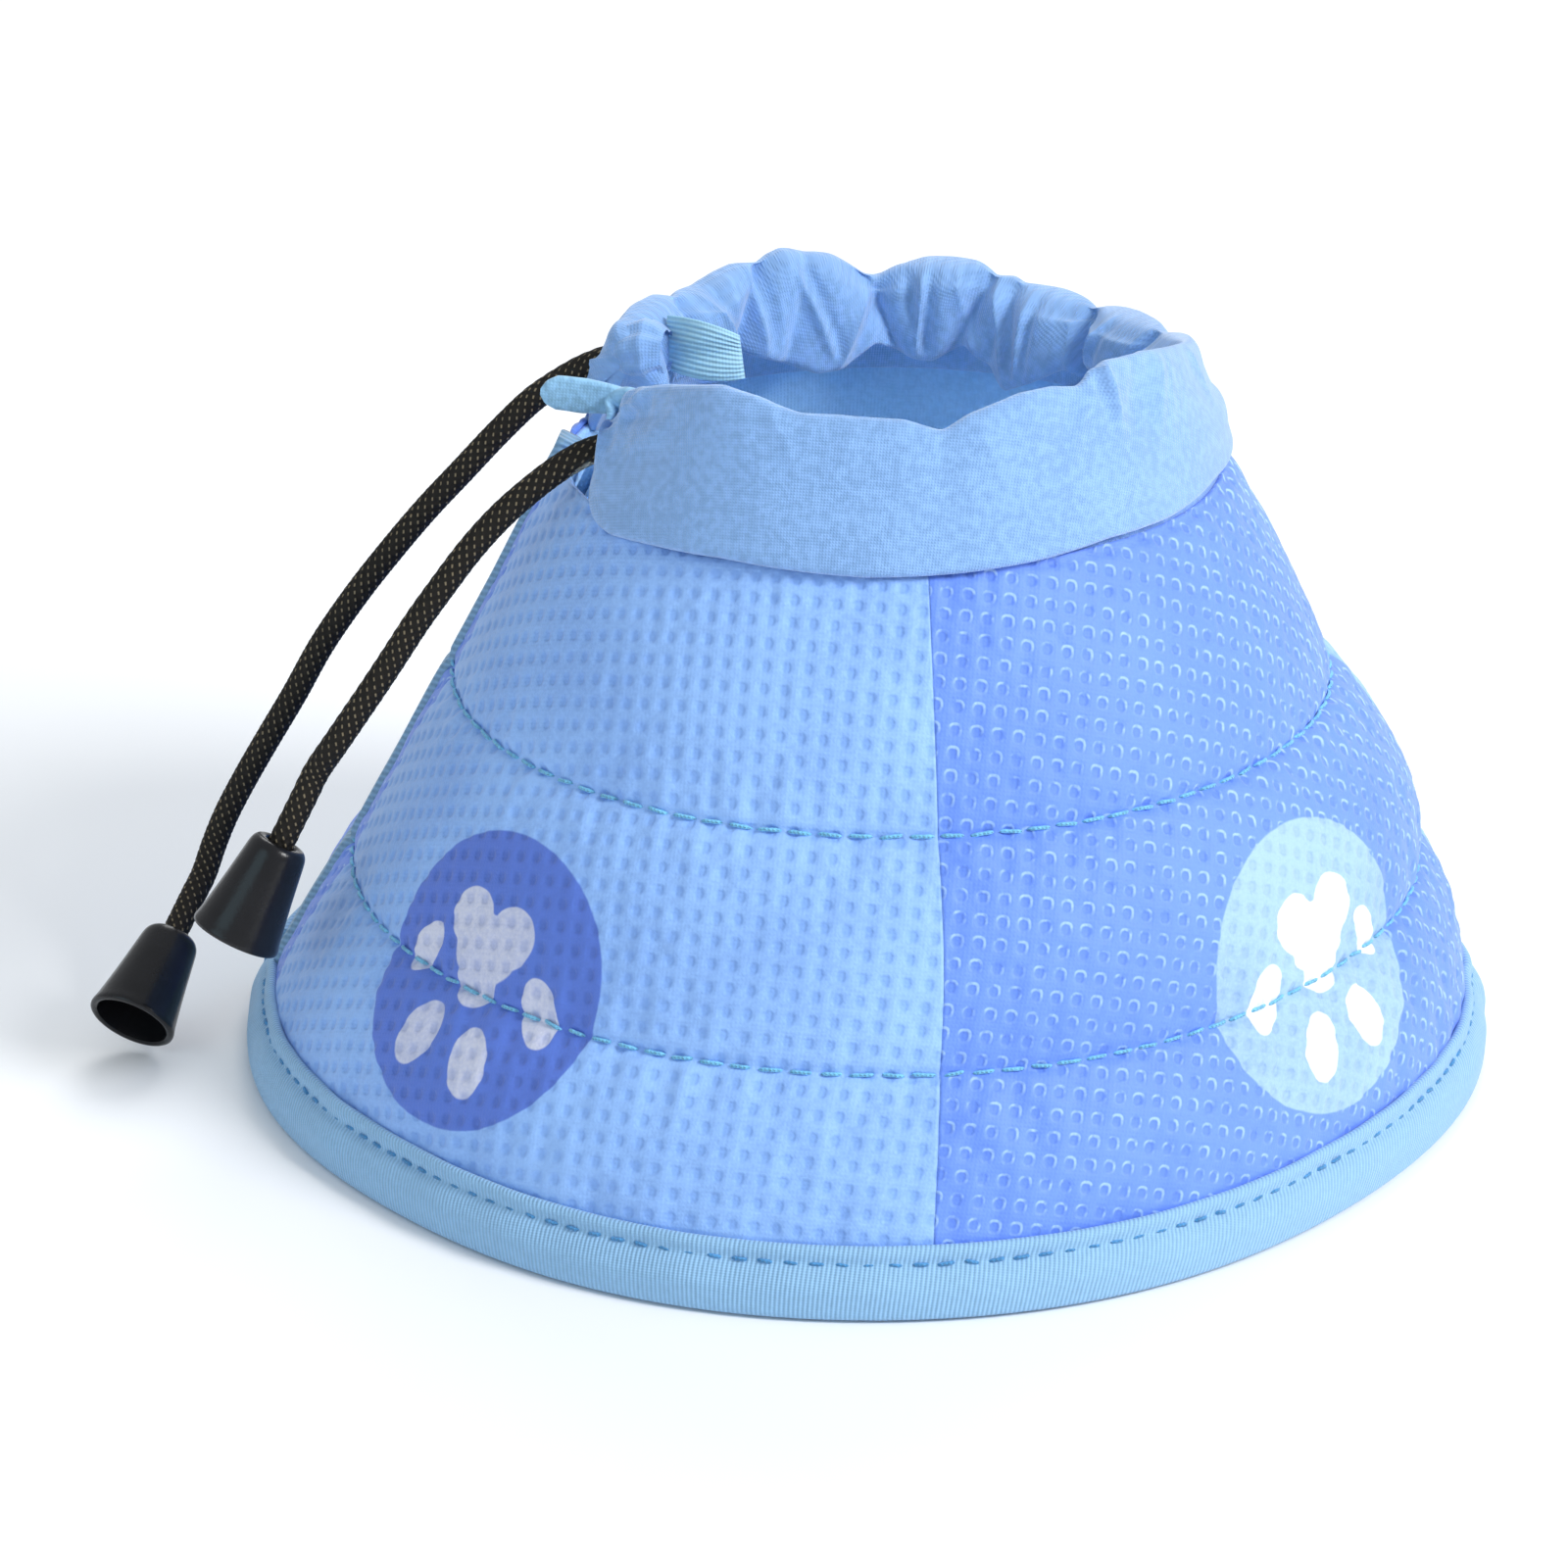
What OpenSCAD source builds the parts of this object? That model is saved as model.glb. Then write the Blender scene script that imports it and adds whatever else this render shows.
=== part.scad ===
// Padded elizabethan collar: a soft cone of three quilted channels that stands on its wide rim,
// with a gathered drawstring sleeve at the neck and an overlapping hook-and-loop side opening.
// The cone's axis is Z and the rim rests on Z = 0. The side opening faces -X.

/* [Cone] */
// Outer radius of the rim tape
rim_r = 96; // [90:0.5:102]
// Height of the sewn line above the rim tape
hem_z = 9; // [8:0.5:11]
// Height of the lower quilting line
lower_quilt_z = 30.6; // [28:0.2:34]
// Height of the upper quilting line
upper_quilt_z = 60; // [56:0.5:64]
// Height where the neck sleeve starts on the outside
band_z = 92.6; // [90:0.2:95]
// Inward lean of the wall, radius lost for each millimetre of height
wall_lean = 0.502; // [0.49:0.002:0.514]

/* [Layers] */
// Thickness of the outer mesh cover
cover_t = 1; // [0.8:0.1:1.1]
// Thickness of the lining
lining_t = 0.8; // [0.6:0.1:0.9]
// How far a padded channel bulges outward between its seams
puff_out = 1.3; // [0.8:0.1:1.6]
// How far a padded channel bulges inward between its seams
puff_in = 2.6; // [1.6:0.1:2.8]
// Thickness of the edge tape
tape_t = 1.1; // [0.9:0.1:1.2]

/* [Neck] */
// Inner radius of the gathered neck
neck_r = 37.6; // [36.5:0.1:38.5]
// Top of the gathered neck
neck_top_z = 112; // [110.5:0.5:113.5]
// Height of the drawstring's channel
channel_z = 102.5; // [101.5:0.1:103]
// Diameter of the drawstring
cord_d = 4; // [3.6:0.1:5]

/* [Opening] */
// Angle of the front flap's free edge about the axis
flap_edge = 174.3; // [173:0.1:176]
// Angle of the line where the front flap folds open
fold_angle = 216; // [214:0.5:219]
// How far round the rear underlap reaches beneath the flap
underlap_end = 199; // [196:0.5:202]
// Width of the tape that binds the flap's edge, as an angle
edge_tape_angle = 5.2; // [4.8:0.1:5.6]

/* [Cord ends] */
// Length of a bell-shaped cord end
bell_h = 16; // [15:0.5:17]
// Radius of a bell at its mouth
bell_r = 6.8; // [6.4:0.1:7]
// Radius of a bell at its small end
bell_top_r = 4.4; // [4.2:0.1:4.6]

/* [Hidden] */

fine = 96;            // facets of a full turn
arc_steps = 8;        // points along one padded bulge
fold_gap = 0.2;       // half the slit at the fold line, in degrees
root_edge = 172;      // where the rear wall ends beside the flap's free edge
sleeve_front_end = 200; // open end of the neck sleeve on the front flap
sleeve_rear_end = 166;  // open end of the neck sleeve at the rear
overlap_gap = 0.35;   // clearance between the two closure tapes
puff_in_flap = 2.0;   // the flap is padded less, to lie over the underlap
thread_r = 0.4;       // sewing thread, laid as one ring for each seam
hem_r = rim_r - 4.4;  // cover radius at the hem seam
wall_end_z = 94.5;    // top of the wall, inside the neck sleeve
cuff_hang = 1.2;      // how far the sleeve's lower fold hangs over the cover
hem_drop = 7.6;       // how far the wall reaches down inside the rim tape
lean_len = sqrt(1 + wall_lean * wall_lean);
up_r = -wall_lean / lean_len;
up_z = 1 / lean_len;
sewn_t = cover_t + lining_t;

// Points of the wall's outer face in the (radius, height) half-plane
function wall_at(z) = [hem_r - (z - hem_z) * wall_lean, z];
// Shift a half-plane point outward, square to the wall
function off(p, d) = [p[0] + d * up_z, p[1] - d * up_r];
// Shift a half-plane point up along the wall
function along(p, d) = [p[0] + d * up_r, p[1] + d * up_z];
// Points of a bulge of the given height from p to q, outward when positive
function bulge(p, q, h, n = arc_steps) =
    [for (i = [0 : n]) let (t = i / n) off(p + (q - p) * t, 4 * h * t * (1 - t))];
function offset_all(ps, d) = [for (p = ps) off(p, d)];
function reversed(ps) = [for (i = [len(ps) - 1 : -1 : 0]) ps[i]];

hem = wall_at(hem_z);
lower_q = wall_at(lower_quilt_z);
upper_q = wall_at(upper_quilt_z);
band = wall_at(band_z);
wall_end = wall_at(wall_end_z);
wall_foot = along(hem, -hem_drop);

// The outer line of the puffed wall, and the inner line that the lining follows
function puffed(h) = concat(bulge(hem, lower_q, h), bulge(lower_q, upper_q, h),
                            bulge(upper_q, band, h));

root_from = fold_angle + fold_gap;
root_sweep = 360 + root_edge - root_from;
flap_from = flap_edge + edge_tape_angle;
flap_sweep = fold_angle - fold_gap - flap_from;
tape_fold = 1.5;      // angle taken up by the fold of the edge tape
cloth_from = flap_edge + tape_fold + 0.1;
cloth_sweep = fold_angle - fold_gap - cloth_from;

// Cord ends: mouth centre and unit direction from the mouth up the cord
front_mouth = [-97.5, -26, 26.5];
front_up = unit([0.45, 0.2, 0.87]);
rear_mouth = [-115.5, -13, 6.3];
rear_up = unit([0.34, 0.76, 0.55]);
knot_at = 9;          // knot centre above the bell's mouth
knot_r = 3.3;
cord_r = cord_d / 2;
// The free cord's route from the sleeve to where it straightens above its bell
front_free = [[-42, -18, 100.5], [-45, -18.5, 99.5], [-48.5, -19, 97.5], [-52.5, -19.5, 94.5],
    [-57, -20, 90.5], [-61.5, -20.5, 85.5], [-66, -21, 79.5], [-69.5, -21, 74.5],
    [-73, -21, 69], [-76, -21.5, 64.5], [-79, -21.5, 60], [-82, -21.5, 55.5]];
rear_free = [[-47.5, 16.5, 100.5], [-51, 16.5, 98.3], [-54.5, 17, 95.5], [-59.5, 17, 90.5],
    [-65, 17, 84.5], [-70.5, 17, 78.5], [-76, 16.5, 72], [-81.5, 16, 65], [-87, 15.5, 57],
    [-91.5, 15, 49], [-96, 14.5, 41.5], [-99.5, 14, 35.5], [-102.5, 13, 30], [-104.5, 11.5, 25.5]];
// Straight stretch inside and above a bell, ending in the knot
function straight_end(mouth, up) = [for (k = [28, 24, 20, 16, 12, knot_at]) mouth + k * up];
front_route = concat(front_free, straight_end(front_mouth, front_up));
rear_route = concat(rear_free, straight_end(rear_mouth, rear_up));

// Tube swept along a route: rings of points square to the line, joined into one closed skin
function unit(v) = v / norm(v);
function heading(ps, i) =
    unit(ps[min(i + 1, len(ps) - 1)] - ps[max(i - 1, 0)]);
function side(d) = unit(cross(d, [0, 0.2, 1]));
function ring(p, d, r, n) = let (a = side(d), b = cross(d, a))
    [for (k = [0 : n - 1]) p + r * (cos(k * 360 / n) * a + sin(k * 360 / n) * b)];
module tube(route, r, n = 10) {
    rings = [for (i = [0 : len(route) - 1]) ring(route[i], heading(route, i), r, n)];
    points = [for (g = rings) for (p = g) p];
    last = (len(route) - 1) * n;
    sides = [for (i = [0 : len(route) - 2]) for (k = [0 : n - 1])
        [i * n + k, i * n + (k + 1) % n, (i + 1) * n + (k + 1) % n, (i + 1) * n + k]];
    polyhedron(points, concat(sides, [[for (k = [n - 1 : -1 : 0]) k]],
               [[for (k = [0 : n - 1]) last + k]]));
}

// Turn a half-plane outline about the axis over part of a turn
module turned(outline, from, sweep) {
    rotate([0, 0, from]) rotate_extrude(angle = sweep, $fn = fine) polygon(outline);
}
// A layer of the wall between two offsets from the seam lines
module layer(outer_d, inner_d, h, from, sweep) {
    line = concat([wall_foot], puffed(h), [wall_end]);
    turned(concat(offset_all(line, outer_d), reversed(offset_all(line, inner_d))), from, sweep);
}
// Foam strip of one channel: it fills the space between cover and lining
module padding(a, b, h_in, from, sweep) {
    skin = offset_all(bulge(a, b, puff_out), -cover_t);
    back = offset_all(bulge(a, b, -h_in), -cover_t);
    inner = [for (i = [1 : arc_steps - 1]) back[arc_steps - i]];
    turned(concat(skin, inner), from, sweep);
}
module thread_ring(p, from, sweep) {
    rotate([0, 0, from]) rotate_extrude(angle = sweep, $fn = fine)
        translate(off(p, thread_r + 0.05)) circle(thread_r, $fn = 16);
}
module cover_layer(from, sweep) color("cornflowerblue") layer(0, -cover_t, puff_out, from, sweep);
module lining_layer(h, from, sweep) color("lightskyblue")
    layer(-cover_t, -sewn_t, -h, from, sweep);
// Rim tape: a folded tape round the wall's lower edge, with the flat foot it stands on
module rim_tape(from, sweep) color("skyblue") turned([
    off(hem, 0), off(hem, tape_t), off(wall_foot, tape_t), [rim_r - 0.2, 0.6],
    [rim_r - 0.9, 0], [rim_r - 4.2, 0],
    off(wall_foot, -sewn_t - tape_t), off(hem, -sewn_t - tape_t),
    off(hem, -sewn_t), off(wall_foot, -sewn_t), off(wall_foot, 0)
], from, sweep);
module rim_stitching(from, sweep) color("steelblue")
    thread_ring(off(along(hem, -2.2), tape_t), from, sweep);
module quilt_thread(at, from, sweep) color("deepskyblue") thread_ring(at, from, sweep);
// Neck sleeve: a cuff folded over the wall's top edge, with a round channel for the drawstring
module cuff(from, sweep) color("lightskyblue") difference() {
    turned([
        off(wall_at(band_z - cuff_hang), 1.3), [48.9, 98], [47.2, 103], [46, 108], [44.6, 110.9],
        [42.4, neck_top_z], [40.2, 111.2], [38.4, 109.2], [neck_r, 107], [neck_r, 96],
        [39.2, 94.2], off(wall_at(93), -sewn_t), off(wall_end, -sewn_t), wall_end,
        band, off(wall_at(band_z - cuff_hang), 0.3)
    ], from, sweep);
    rotate_extrude($fn = fine) translate([(neck_r + 47.2) / 2, channel_z])
        circle(cord_r + 0.35, $fn = 32);
}
module cord_ring(from, sweep) color([0.13, 0.12, 0.1]) rotate([0, 0, from])
    rotate_extrude(angle = sweep, $fn = fine) translate([(neck_r + 47.2) / 2, channel_z])
        circle(cord_r - 0.05, $fn = 24);
module placed_on(mouth, up) {
    translate(mouth) rotate([0, acos(up[2]), atan2(up[1], up[0])]) children();
}
// Bell: a hollow flared cord end, its small end bored for the cord
module bell_body() color([0.08, 0.08, 0.09]) rotate_extrude($fn = 64) polygon([
    [bell_r - 0.9, 0], [bell_r, 0], [bell_r, 0.8], [bell_top_r, bell_h - 1.4],
    [bell_top_r - 1, bell_h], [cord_r + 0.3, bell_h], [cord_r + 0.3, bell_h - 3],
    [3.7, bell_h - 3.4]
]);
module knot_body() color([0.16, 0.15, 0.12]) sphere(knot_r, $fn = 32);

module outer_cover() cover_layer(root_from, root_sweep);
module lower_padding() color("white") padding(hem, lower_q, puff_in, root_from, root_sweep);
module middle_padding() color("white") padding(lower_q, upper_q, puff_in, root_from, root_sweep);
module upper_padding() color("white") padding(upper_q, band, puff_in, root_from, root_sweep);
module lining() lining_layer(puff_in, root_from, root_sweep);
// Flat panel of the rear edge that the flap closes over, with the strip that joins it to the wall
underlap_out = sewn_t + puff_in_flap + 2.4;
underlap_t = 1.8;
underlap_foot = wall_at(hem_z + 1);
underlap_top = wall_at(band_z + 1);
function slab(a, b, outer_d, inner_d) = [off(a, outer_d), off(b, outer_d), off(b, inner_d),
                                         off(a, inner_d)];
module underlap_panel() color("lightskyblue") {
    turned(slab(underlap_foot, underlap_top, -underlap_out, -underlap_out - underlap_t),
           root_edge - 8, underlap_end - root_edge + 6);
    turned(slab(underlap_foot, underlap_top, -sewn_t - puff_in, -underlap_out),
           root_edge - 8, 5);
}
module underlap_binding() color("skyblue")
    turned(slab(underlap_foot, underlap_top, -underlap_out + 0.5, -underlap_out - underlap_t - 0.5),
           underlap_end - 2, 2);
module loop_tape() color("lightblue")
    turned(slab(wall_at(14), wall_at(88), -underlap_out + 0.9, -underlap_out),
           flap_from + 0.5, 13);
module hook_tape() color("lightblue")
    turned(slab(wall_at(14), wall_at(88), -sewn_t - puff_in_flap - 0.05,
                -underlap_out + 0.9 + overlap_gap), flap_from + 0.5, 13);
module rim_binding() rim_tape(root_from, root_sweep);
module rim_thread() rim_stitching(root_from, root_sweep);
module lower_quilt_thread() quilt_thread(lower_q, root_from, root_sweep);
module upper_quilt_thread() quilt_thread(upper_q, root_from, root_sweep);
module neck_sleeve() difference() {
    cuff(root_from, 360 + sleeve_rear_end - root_from);
    end_tape(0.02, 0.5);
}
module drawstring() cord_ring(root_from + 0.3, 292);
// Ribbed tape end sewn inside the rear of the neck
end_tape_t = 1.2;
module end_tape(space, turn)
    turned([[neck_r, 96.5 - space], [neck_r + end_tape_t + space, 96.5 - space],
            [neck_r + end_tape_t + space, 106.5 + space], [neck_r, 106.5 + space]],
           148 - turn, 16 + 2 * turn);
module neck_end_tape() color("skyblue") end_tape(0, 0);

module outer_cover_flap() cover_layer(cloth_from, cloth_sweep);
module lower_padding_flap() color("white")
    padding(hem, lower_q, puff_in_flap, flap_from, flap_sweep);
module middle_padding_flap() color("white")
    padding(lower_q, upper_q, puff_in_flap, flap_from, flap_sweep);
module upper_padding_flap() color("white")
    padding(upper_q, band, puff_in_flap, flap_from, flap_sweep);
module lining_flap() lining_layer(puff_in_flap, cloth_from, cloth_sweep);
module rim_binding_flap() rim_tape(flap_edge, flap_sweep + edge_tape_angle);
module rim_thread_flap() rim_stitching(flap_edge, flap_sweep + edge_tape_angle);
module lower_quilt_thread_flap() quilt_thread(lower_q, flap_from, flap_sweep);
module upper_quilt_thread_flap() quilt_thread(upper_q, flap_from, flap_sweep);
module neck_sleeve_flap() cuff(sleeve_front_end, fold_angle - fold_gap - sleeve_front_end);
module drawstring_flap() cord_ring(sleeve_front_end + 4, fold_angle - fold_gap - sleeve_front_end - 4.3);
// Edge tape folded round the flap's free edge; its end stands out at the neck as a short tab
tape_side_t = 0.9;
tab_r = 2.8;          // half the width of the tab
// The bound stretch of the wall, from the hem seam to just below the neck
function edge_line(h) = [for (i = [0 : 3 * arc_steps + 1]) puffed(h)[i]];
module edge_strip(extra, from, sweep) {
    turned(concat(offset_all(edge_line(puff_out), extra),
                  reversed(offset_all(edge_line(-puff_in_flap), -sewn_t - extra))), from, sweep);
}
module flap_edge_binding() color("steelblue") {
    difference() {
        edge_strip(tape_side_t, flap_edge, edge_tape_angle);
        edge_strip(0, flap_edge + tape_fold, edge_tape_angle);
    }
    translate([-50, -13, 105]) rotate([90, 0, 0]) {
        cylinder(r = tab_r, h = 2, $fn = 32);
        translate([0, -tab_r, 0]) cube([6, 2 * tab_r, 2]);
    }
}
module front_tail() color([0.13, 0.12, 0.1]) tube(front_route, cord_r);
module front_knot() placed_on(front_mouth, front_up) translate([0, 0, knot_at]) knot_body();
module front_bell() placed_on(front_mouth, front_up) bell_body();
module rear_tail() color([0.13, 0.12, 0.1]) tube(rear_route, cord_r);
module rear_knot() placed_on(rear_mouth, rear_up) translate([0, 0, knot_at]) knot_body();
module rear_bell() placed_on(rear_mouth, rear_up) bell_body();

outer_cover();
lower_padding();
middle_padding();
upper_padding();
lining();
underlap_panel();
underlap_binding();
loop_tape();
rim_binding();
rim_thread();
lower_quilt_thread();
upper_quilt_thread();
neck_sleeve();
drawstring();
neck_end_tape();
outer_cover_flap();
lower_padding_flap();
middle_padding_flap();
upper_padding_flap();
lining_flap();
rim_binding_flap();
rim_thread_flap();
lower_quilt_thread_flap();
upper_quilt_thread_flap();
neck_sleeve_flap();
drawstring_flap();
flap_edge_binding();
hook_tape();
front_tail();
front_knot();
front_bell();
rear_tail();
rear_knot();
rear_bell();
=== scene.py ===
import math

import bpy
import numpy as np
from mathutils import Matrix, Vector


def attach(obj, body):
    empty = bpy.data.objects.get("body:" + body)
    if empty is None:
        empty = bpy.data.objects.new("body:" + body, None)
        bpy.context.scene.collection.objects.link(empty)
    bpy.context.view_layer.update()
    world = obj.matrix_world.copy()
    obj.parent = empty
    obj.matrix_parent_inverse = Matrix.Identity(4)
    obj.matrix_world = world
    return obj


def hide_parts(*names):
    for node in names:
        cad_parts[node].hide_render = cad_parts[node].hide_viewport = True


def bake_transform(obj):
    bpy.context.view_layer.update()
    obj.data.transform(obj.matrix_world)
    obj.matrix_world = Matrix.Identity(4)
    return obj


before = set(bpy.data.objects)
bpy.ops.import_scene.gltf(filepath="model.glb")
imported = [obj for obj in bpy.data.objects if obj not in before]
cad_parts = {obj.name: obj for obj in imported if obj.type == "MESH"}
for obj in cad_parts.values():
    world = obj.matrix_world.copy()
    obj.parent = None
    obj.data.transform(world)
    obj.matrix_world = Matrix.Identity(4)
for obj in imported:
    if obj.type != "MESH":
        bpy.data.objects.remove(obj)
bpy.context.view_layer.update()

# ---- camera, floor and light
scene = bpy.context.scene
cam = bpy.data.objects.new("camera", bpy.data.cameras.new("camera"))
scene.collection.objects.link(cam)
cam.location = (-0.016, -0.6913, 0.3311)
cam.rotation_euler = (math.radians(67.18), 0, 0)
cam.data.lens = 113.2
cam.data.sensor_width = 36
scene.camera = cam
scene.view_settings.view_transform = "Standard"


def area_light(name, place, aim, size, power, colour=(1, 1, 1), spread=180):
    data = bpy.data.lights.new(name, "AREA")
    data.shape = "DISK"
    data.size = size
    data.energy = power
    data.color = colour
    data.spread = math.radians(spread)
    lamp = bpy.data.objects.new(name, data)
    scene.collection.objects.link(lamp)
    lamp.location = place
    lamp.rotation_euler = (Vector(aim) - Vector(place)).to_track_quat("-Z", "Y").to_euler()


area_light("key", (0.95, -0.55, 0.85), (0, 0, 0.05), 0.5, 15.5)
area_light("fill", (-0.9, -0.9, 0.6), (0, 0, 0.05), 0.9, 2.2, (0.50, 0.85, 1.0))
area_light("back", (0.1, 1.0, 0.9), (0, 0, 0.1), 0.8, 6)
area_light("neck_top", (0.0, 0.0, 0.60), (0, 0.004, 0.0), 0.03, 4.0, (0.75, 0.90, 1.0), spread=2)
world = bpy.data.worlds.new("studio")
scene.world = world
world.use_nodes = True
world.node_tree.nodes["Background"].inputs["Color"].default_value = (0.93, 0.96, 1, 1)
world.node_tree.nodes["Background"].inputs["Strength"].default_value = 0.58


# ---- material nodes
class Mat:
    """A Principled material and short calls that add nodes to it. Sockets and numbers mix freely."""

    def __init__(self, name, colour, rough=0.7, sheen=0.0, spec=0.5):
        self.m = bpy.data.materials.new(name)
        self.m.use_nodes = True
        self.t = self.m.node_tree
        self.b = self.t.nodes["Principled BSDF"]
        self.b.inputs["Base Color"].default_value = (*colour, 1)
        self.b.inputs["Roughness"].default_value = rough
        self.b.inputs["Sheen Weight"].default_value = sheen
        self.b.inputs["Specular IOR Level"].default_value = spec
        self.m.diffuse_color = (*colour, 1)

    def put(self, socket, value):
        if isinstance(value, bpy.types.NodeSocket):
            self.t.links.new(value, socket)
        elif isinstance(value, tuple) and len(value) == 3 and socket.type == "RGBA":
            socket.default_value = (*value, 1)
        else:
            socket.default_value = value

    def math(self, op, a, b=None, c=None):
        n = self.t.nodes.new("ShaderNodeMath")
        n.operation = op
        for i, x in enumerate((a, b, c)):
            if x is not None:
                self.put(n.inputs[i], x)
        return n.outputs[0]

    def add(self, a, b):
        return self.math("ADD", a, b)

    def sub(self, a, b):
        return self.math("SUBTRACT", a, b)

    def mul(self, a, b):
        return self.math("MULTIPLY", a, b)

    def div(self, a, b):
        return self.math("DIVIDE", a, b)

    def mad(self, a, b, c):
        """a times b, plus c."""
        return self.math("MULTIPLY_ADD", a, b, c)

    def power(self, a, b):
        return self.math("POWER", a, b)

    def mix(self, f, a, b):
        n = self.t.nodes.new("ShaderNodeMix")
        n.data_type = "RGBA"
        self.put(n.inputs[0], f)
        self.put(n.inputs[6], a)
        self.put(n.inputs[7], b)
        return n.outputs[2]

    def uv(self, name):
        n = self.t.nodes.new("ShaderNodeUVMap")
        n.uv_map = name
        s = self.t.nodes.new("ShaderNodeSeparateXYZ")
        self.t.links.new(n.outputs[0], s.inputs[0])
        return n.outputs[0], s.outputs[0], s.outputs[1]

    def place(self):
        return self.t.nodes.new("ShaderNodeTexCoord").outputs["Object"]

    def noise(self, vector, scale, detail=3.0, rough=0.5):
        n = self.t.nodes.new("ShaderNodeTexNoise")
        self.t.links.new(vector, n.inputs["Vector"])
        n.inputs["Scale"].default_value = scale
        n.inputs["Detail"].default_value = detail
        n.inputs["Roughness"].default_value = rough
        return n.outputs["Fac"]

    def ramp(self, x, lo, hi):
        """0 below lo, 1 above hi, smooth between."""
        n = self.t.nodes.new("ShaderNodeMapRange")
        n.interpolation_type = "SMOOTHSTEP"
        self.put(n.inputs[0], x)
        n.inputs[1].default_value = lo
        n.inputs[2].default_value = hi
        return n.outputs[0]

    def bump(self, height, dist, strength=1.0):
        n = self.t.nodes.new("ShaderNodeBump")
        n.inputs["Strength"].default_value = strength
        n.inputs["Distance"].default_value = dist
        self.put(n.inputs["Height"], height)
        old = self.b.inputs["Normal"]
        if old.is_linked:
            self.t.links.new(old.links[0].from_socket, n.inputs["Normal"])
        self.t.links.new(n.outputs[0], old)

    def colour(self, socket):
        self.t.links.new(socket, self.b.inputs["Base Color"])

    def rough(self, socket):
        self.t.links.new(socket, self.b.inputs["Roughness"])

    def wave(self, x, pitch):
        """Cosine of x with that pitch, from 0 to 1."""
        return self.mad(self.math("COSINE", self.mul(x, 2 * math.pi / pitch)), 0.5, 0.5)


LIGHT = (0.305, 0.525, 0.95)
# the dimple colours: the two dot colours are painted shade in the dimples' hollows, the ring colour a painted
# highlight on the dimples' rims on the dark panels
LIGHT_HOLLOW_SHADE = (0.215, 0.410, 0.86)
DARK = (0.148, 0.290, 0.86)
DARK_HOLLOW_SHADE = (0.105, 0.225, 0.76)
DARK_RING_HIGHLIGHT = (0.42, 0.64, 0.97)
DISC_DARK = (0.095, 0.185, 0.66)
DISC_PALE = (0.36, 0.555, 0.79)
PAW_LILAC = (0.68, 0.69, 0.82)
PAW_WHITE = (0.95, 0.96, 0.97)
CUFF = (0.240, 0.435, 0.79)
LINING = (0.36, 0.63, 0.97)
TAPE = (0.27, 0.50, 0.76)
THREAD = (0.20, 0.59, 0.87)
# painted shade in the dimples' hollows on the paw
PAW_HOLLOW_SHADE = (0.42, 0.47, 0.72)
SHADE = (0.07, 0.17, 0.55)
# metres on the flat cloth: the dimple lattice, then the braid's strand count, pitch and turn round the cord
PITCH_U, PITCH_V = 0.00300, 0.00320
STRANDS, STRAND_W, BRAID_LAP = 8, 0.00175, 0.0157
SQUARENESS = 2.6  # a dimple's outline, between a circle at 2 and a square


def woven(name, colour, pitch=0.0005, depth=0.00006, rough=0.82, sheen=0.25, blotch=0.10):
    """Plain weave cloth: fine over-and-under threads on the flat UV, with slight mottling."""
    m = Mat(name, colour, rough, sheen, 0.3)
    vec, u, v = m.uv("flat")
    a, b = m.wave(u, pitch), m.wave(v, pitch)
    weave = m.mul(a, b)
    big = m.ramp(m.mad(m.noise(vec, 110.0, 4.0), 0.3, m.mul(m.noise(vec, 800.0, 3.0), 0.7)), 0.38, 0.62)
    fine = m.noise(vec, 1400.0, 2.0)
    dark = tuple(c * (1 - 2.2 * blotch) for c in colour)
    pale = tuple(min(1, c * (1 + blotch) + 0.02) for c in colour)
    mixed = m.mix(big, dark, pale)
    m.colour(m.mix(m.mul(m.sub(1.0, fine), 0.45), mixed, dark))
    m.rough(m.mad(fine, 0.2, rough - 0.1))
    m.bump(m.add(weave, m.mul(fine, 0.8)), depth)
    return m


def ribbed(name, colour, pitch, along_u=True, depth=0.00016, low=0.66):
    """Grosgrain tape: cross ribs with thread texture on them."""
    m = Mat(name, colour, 0.75, 0.2, 0.35)
    vec, u, v = m.uv("flat")
    rib = m.wave(u if along_u else v, pitch)
    thread = m.wave(v if along_u else u, pitch * 0.55)
    fine = m.noise(vec, 900.0, 2.0)
    # dark and pale follow the ribs: painted shade between the ribs and painted highlight on them, mixed with
    # random thread tone from the noise
    dark = tuple(c * low for c in colour)
    pale = tuple(min(1, c * 1.10 + 0.03) for c in colour)
    m.colour(m.mix(m.mad(fine, 0.45, m.mul(rib, 0.6)), dark, pale))
    m.bump(m.add(rib, m.mul(m.add(thread, fine), 0.25)), depth)
    return m


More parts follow.
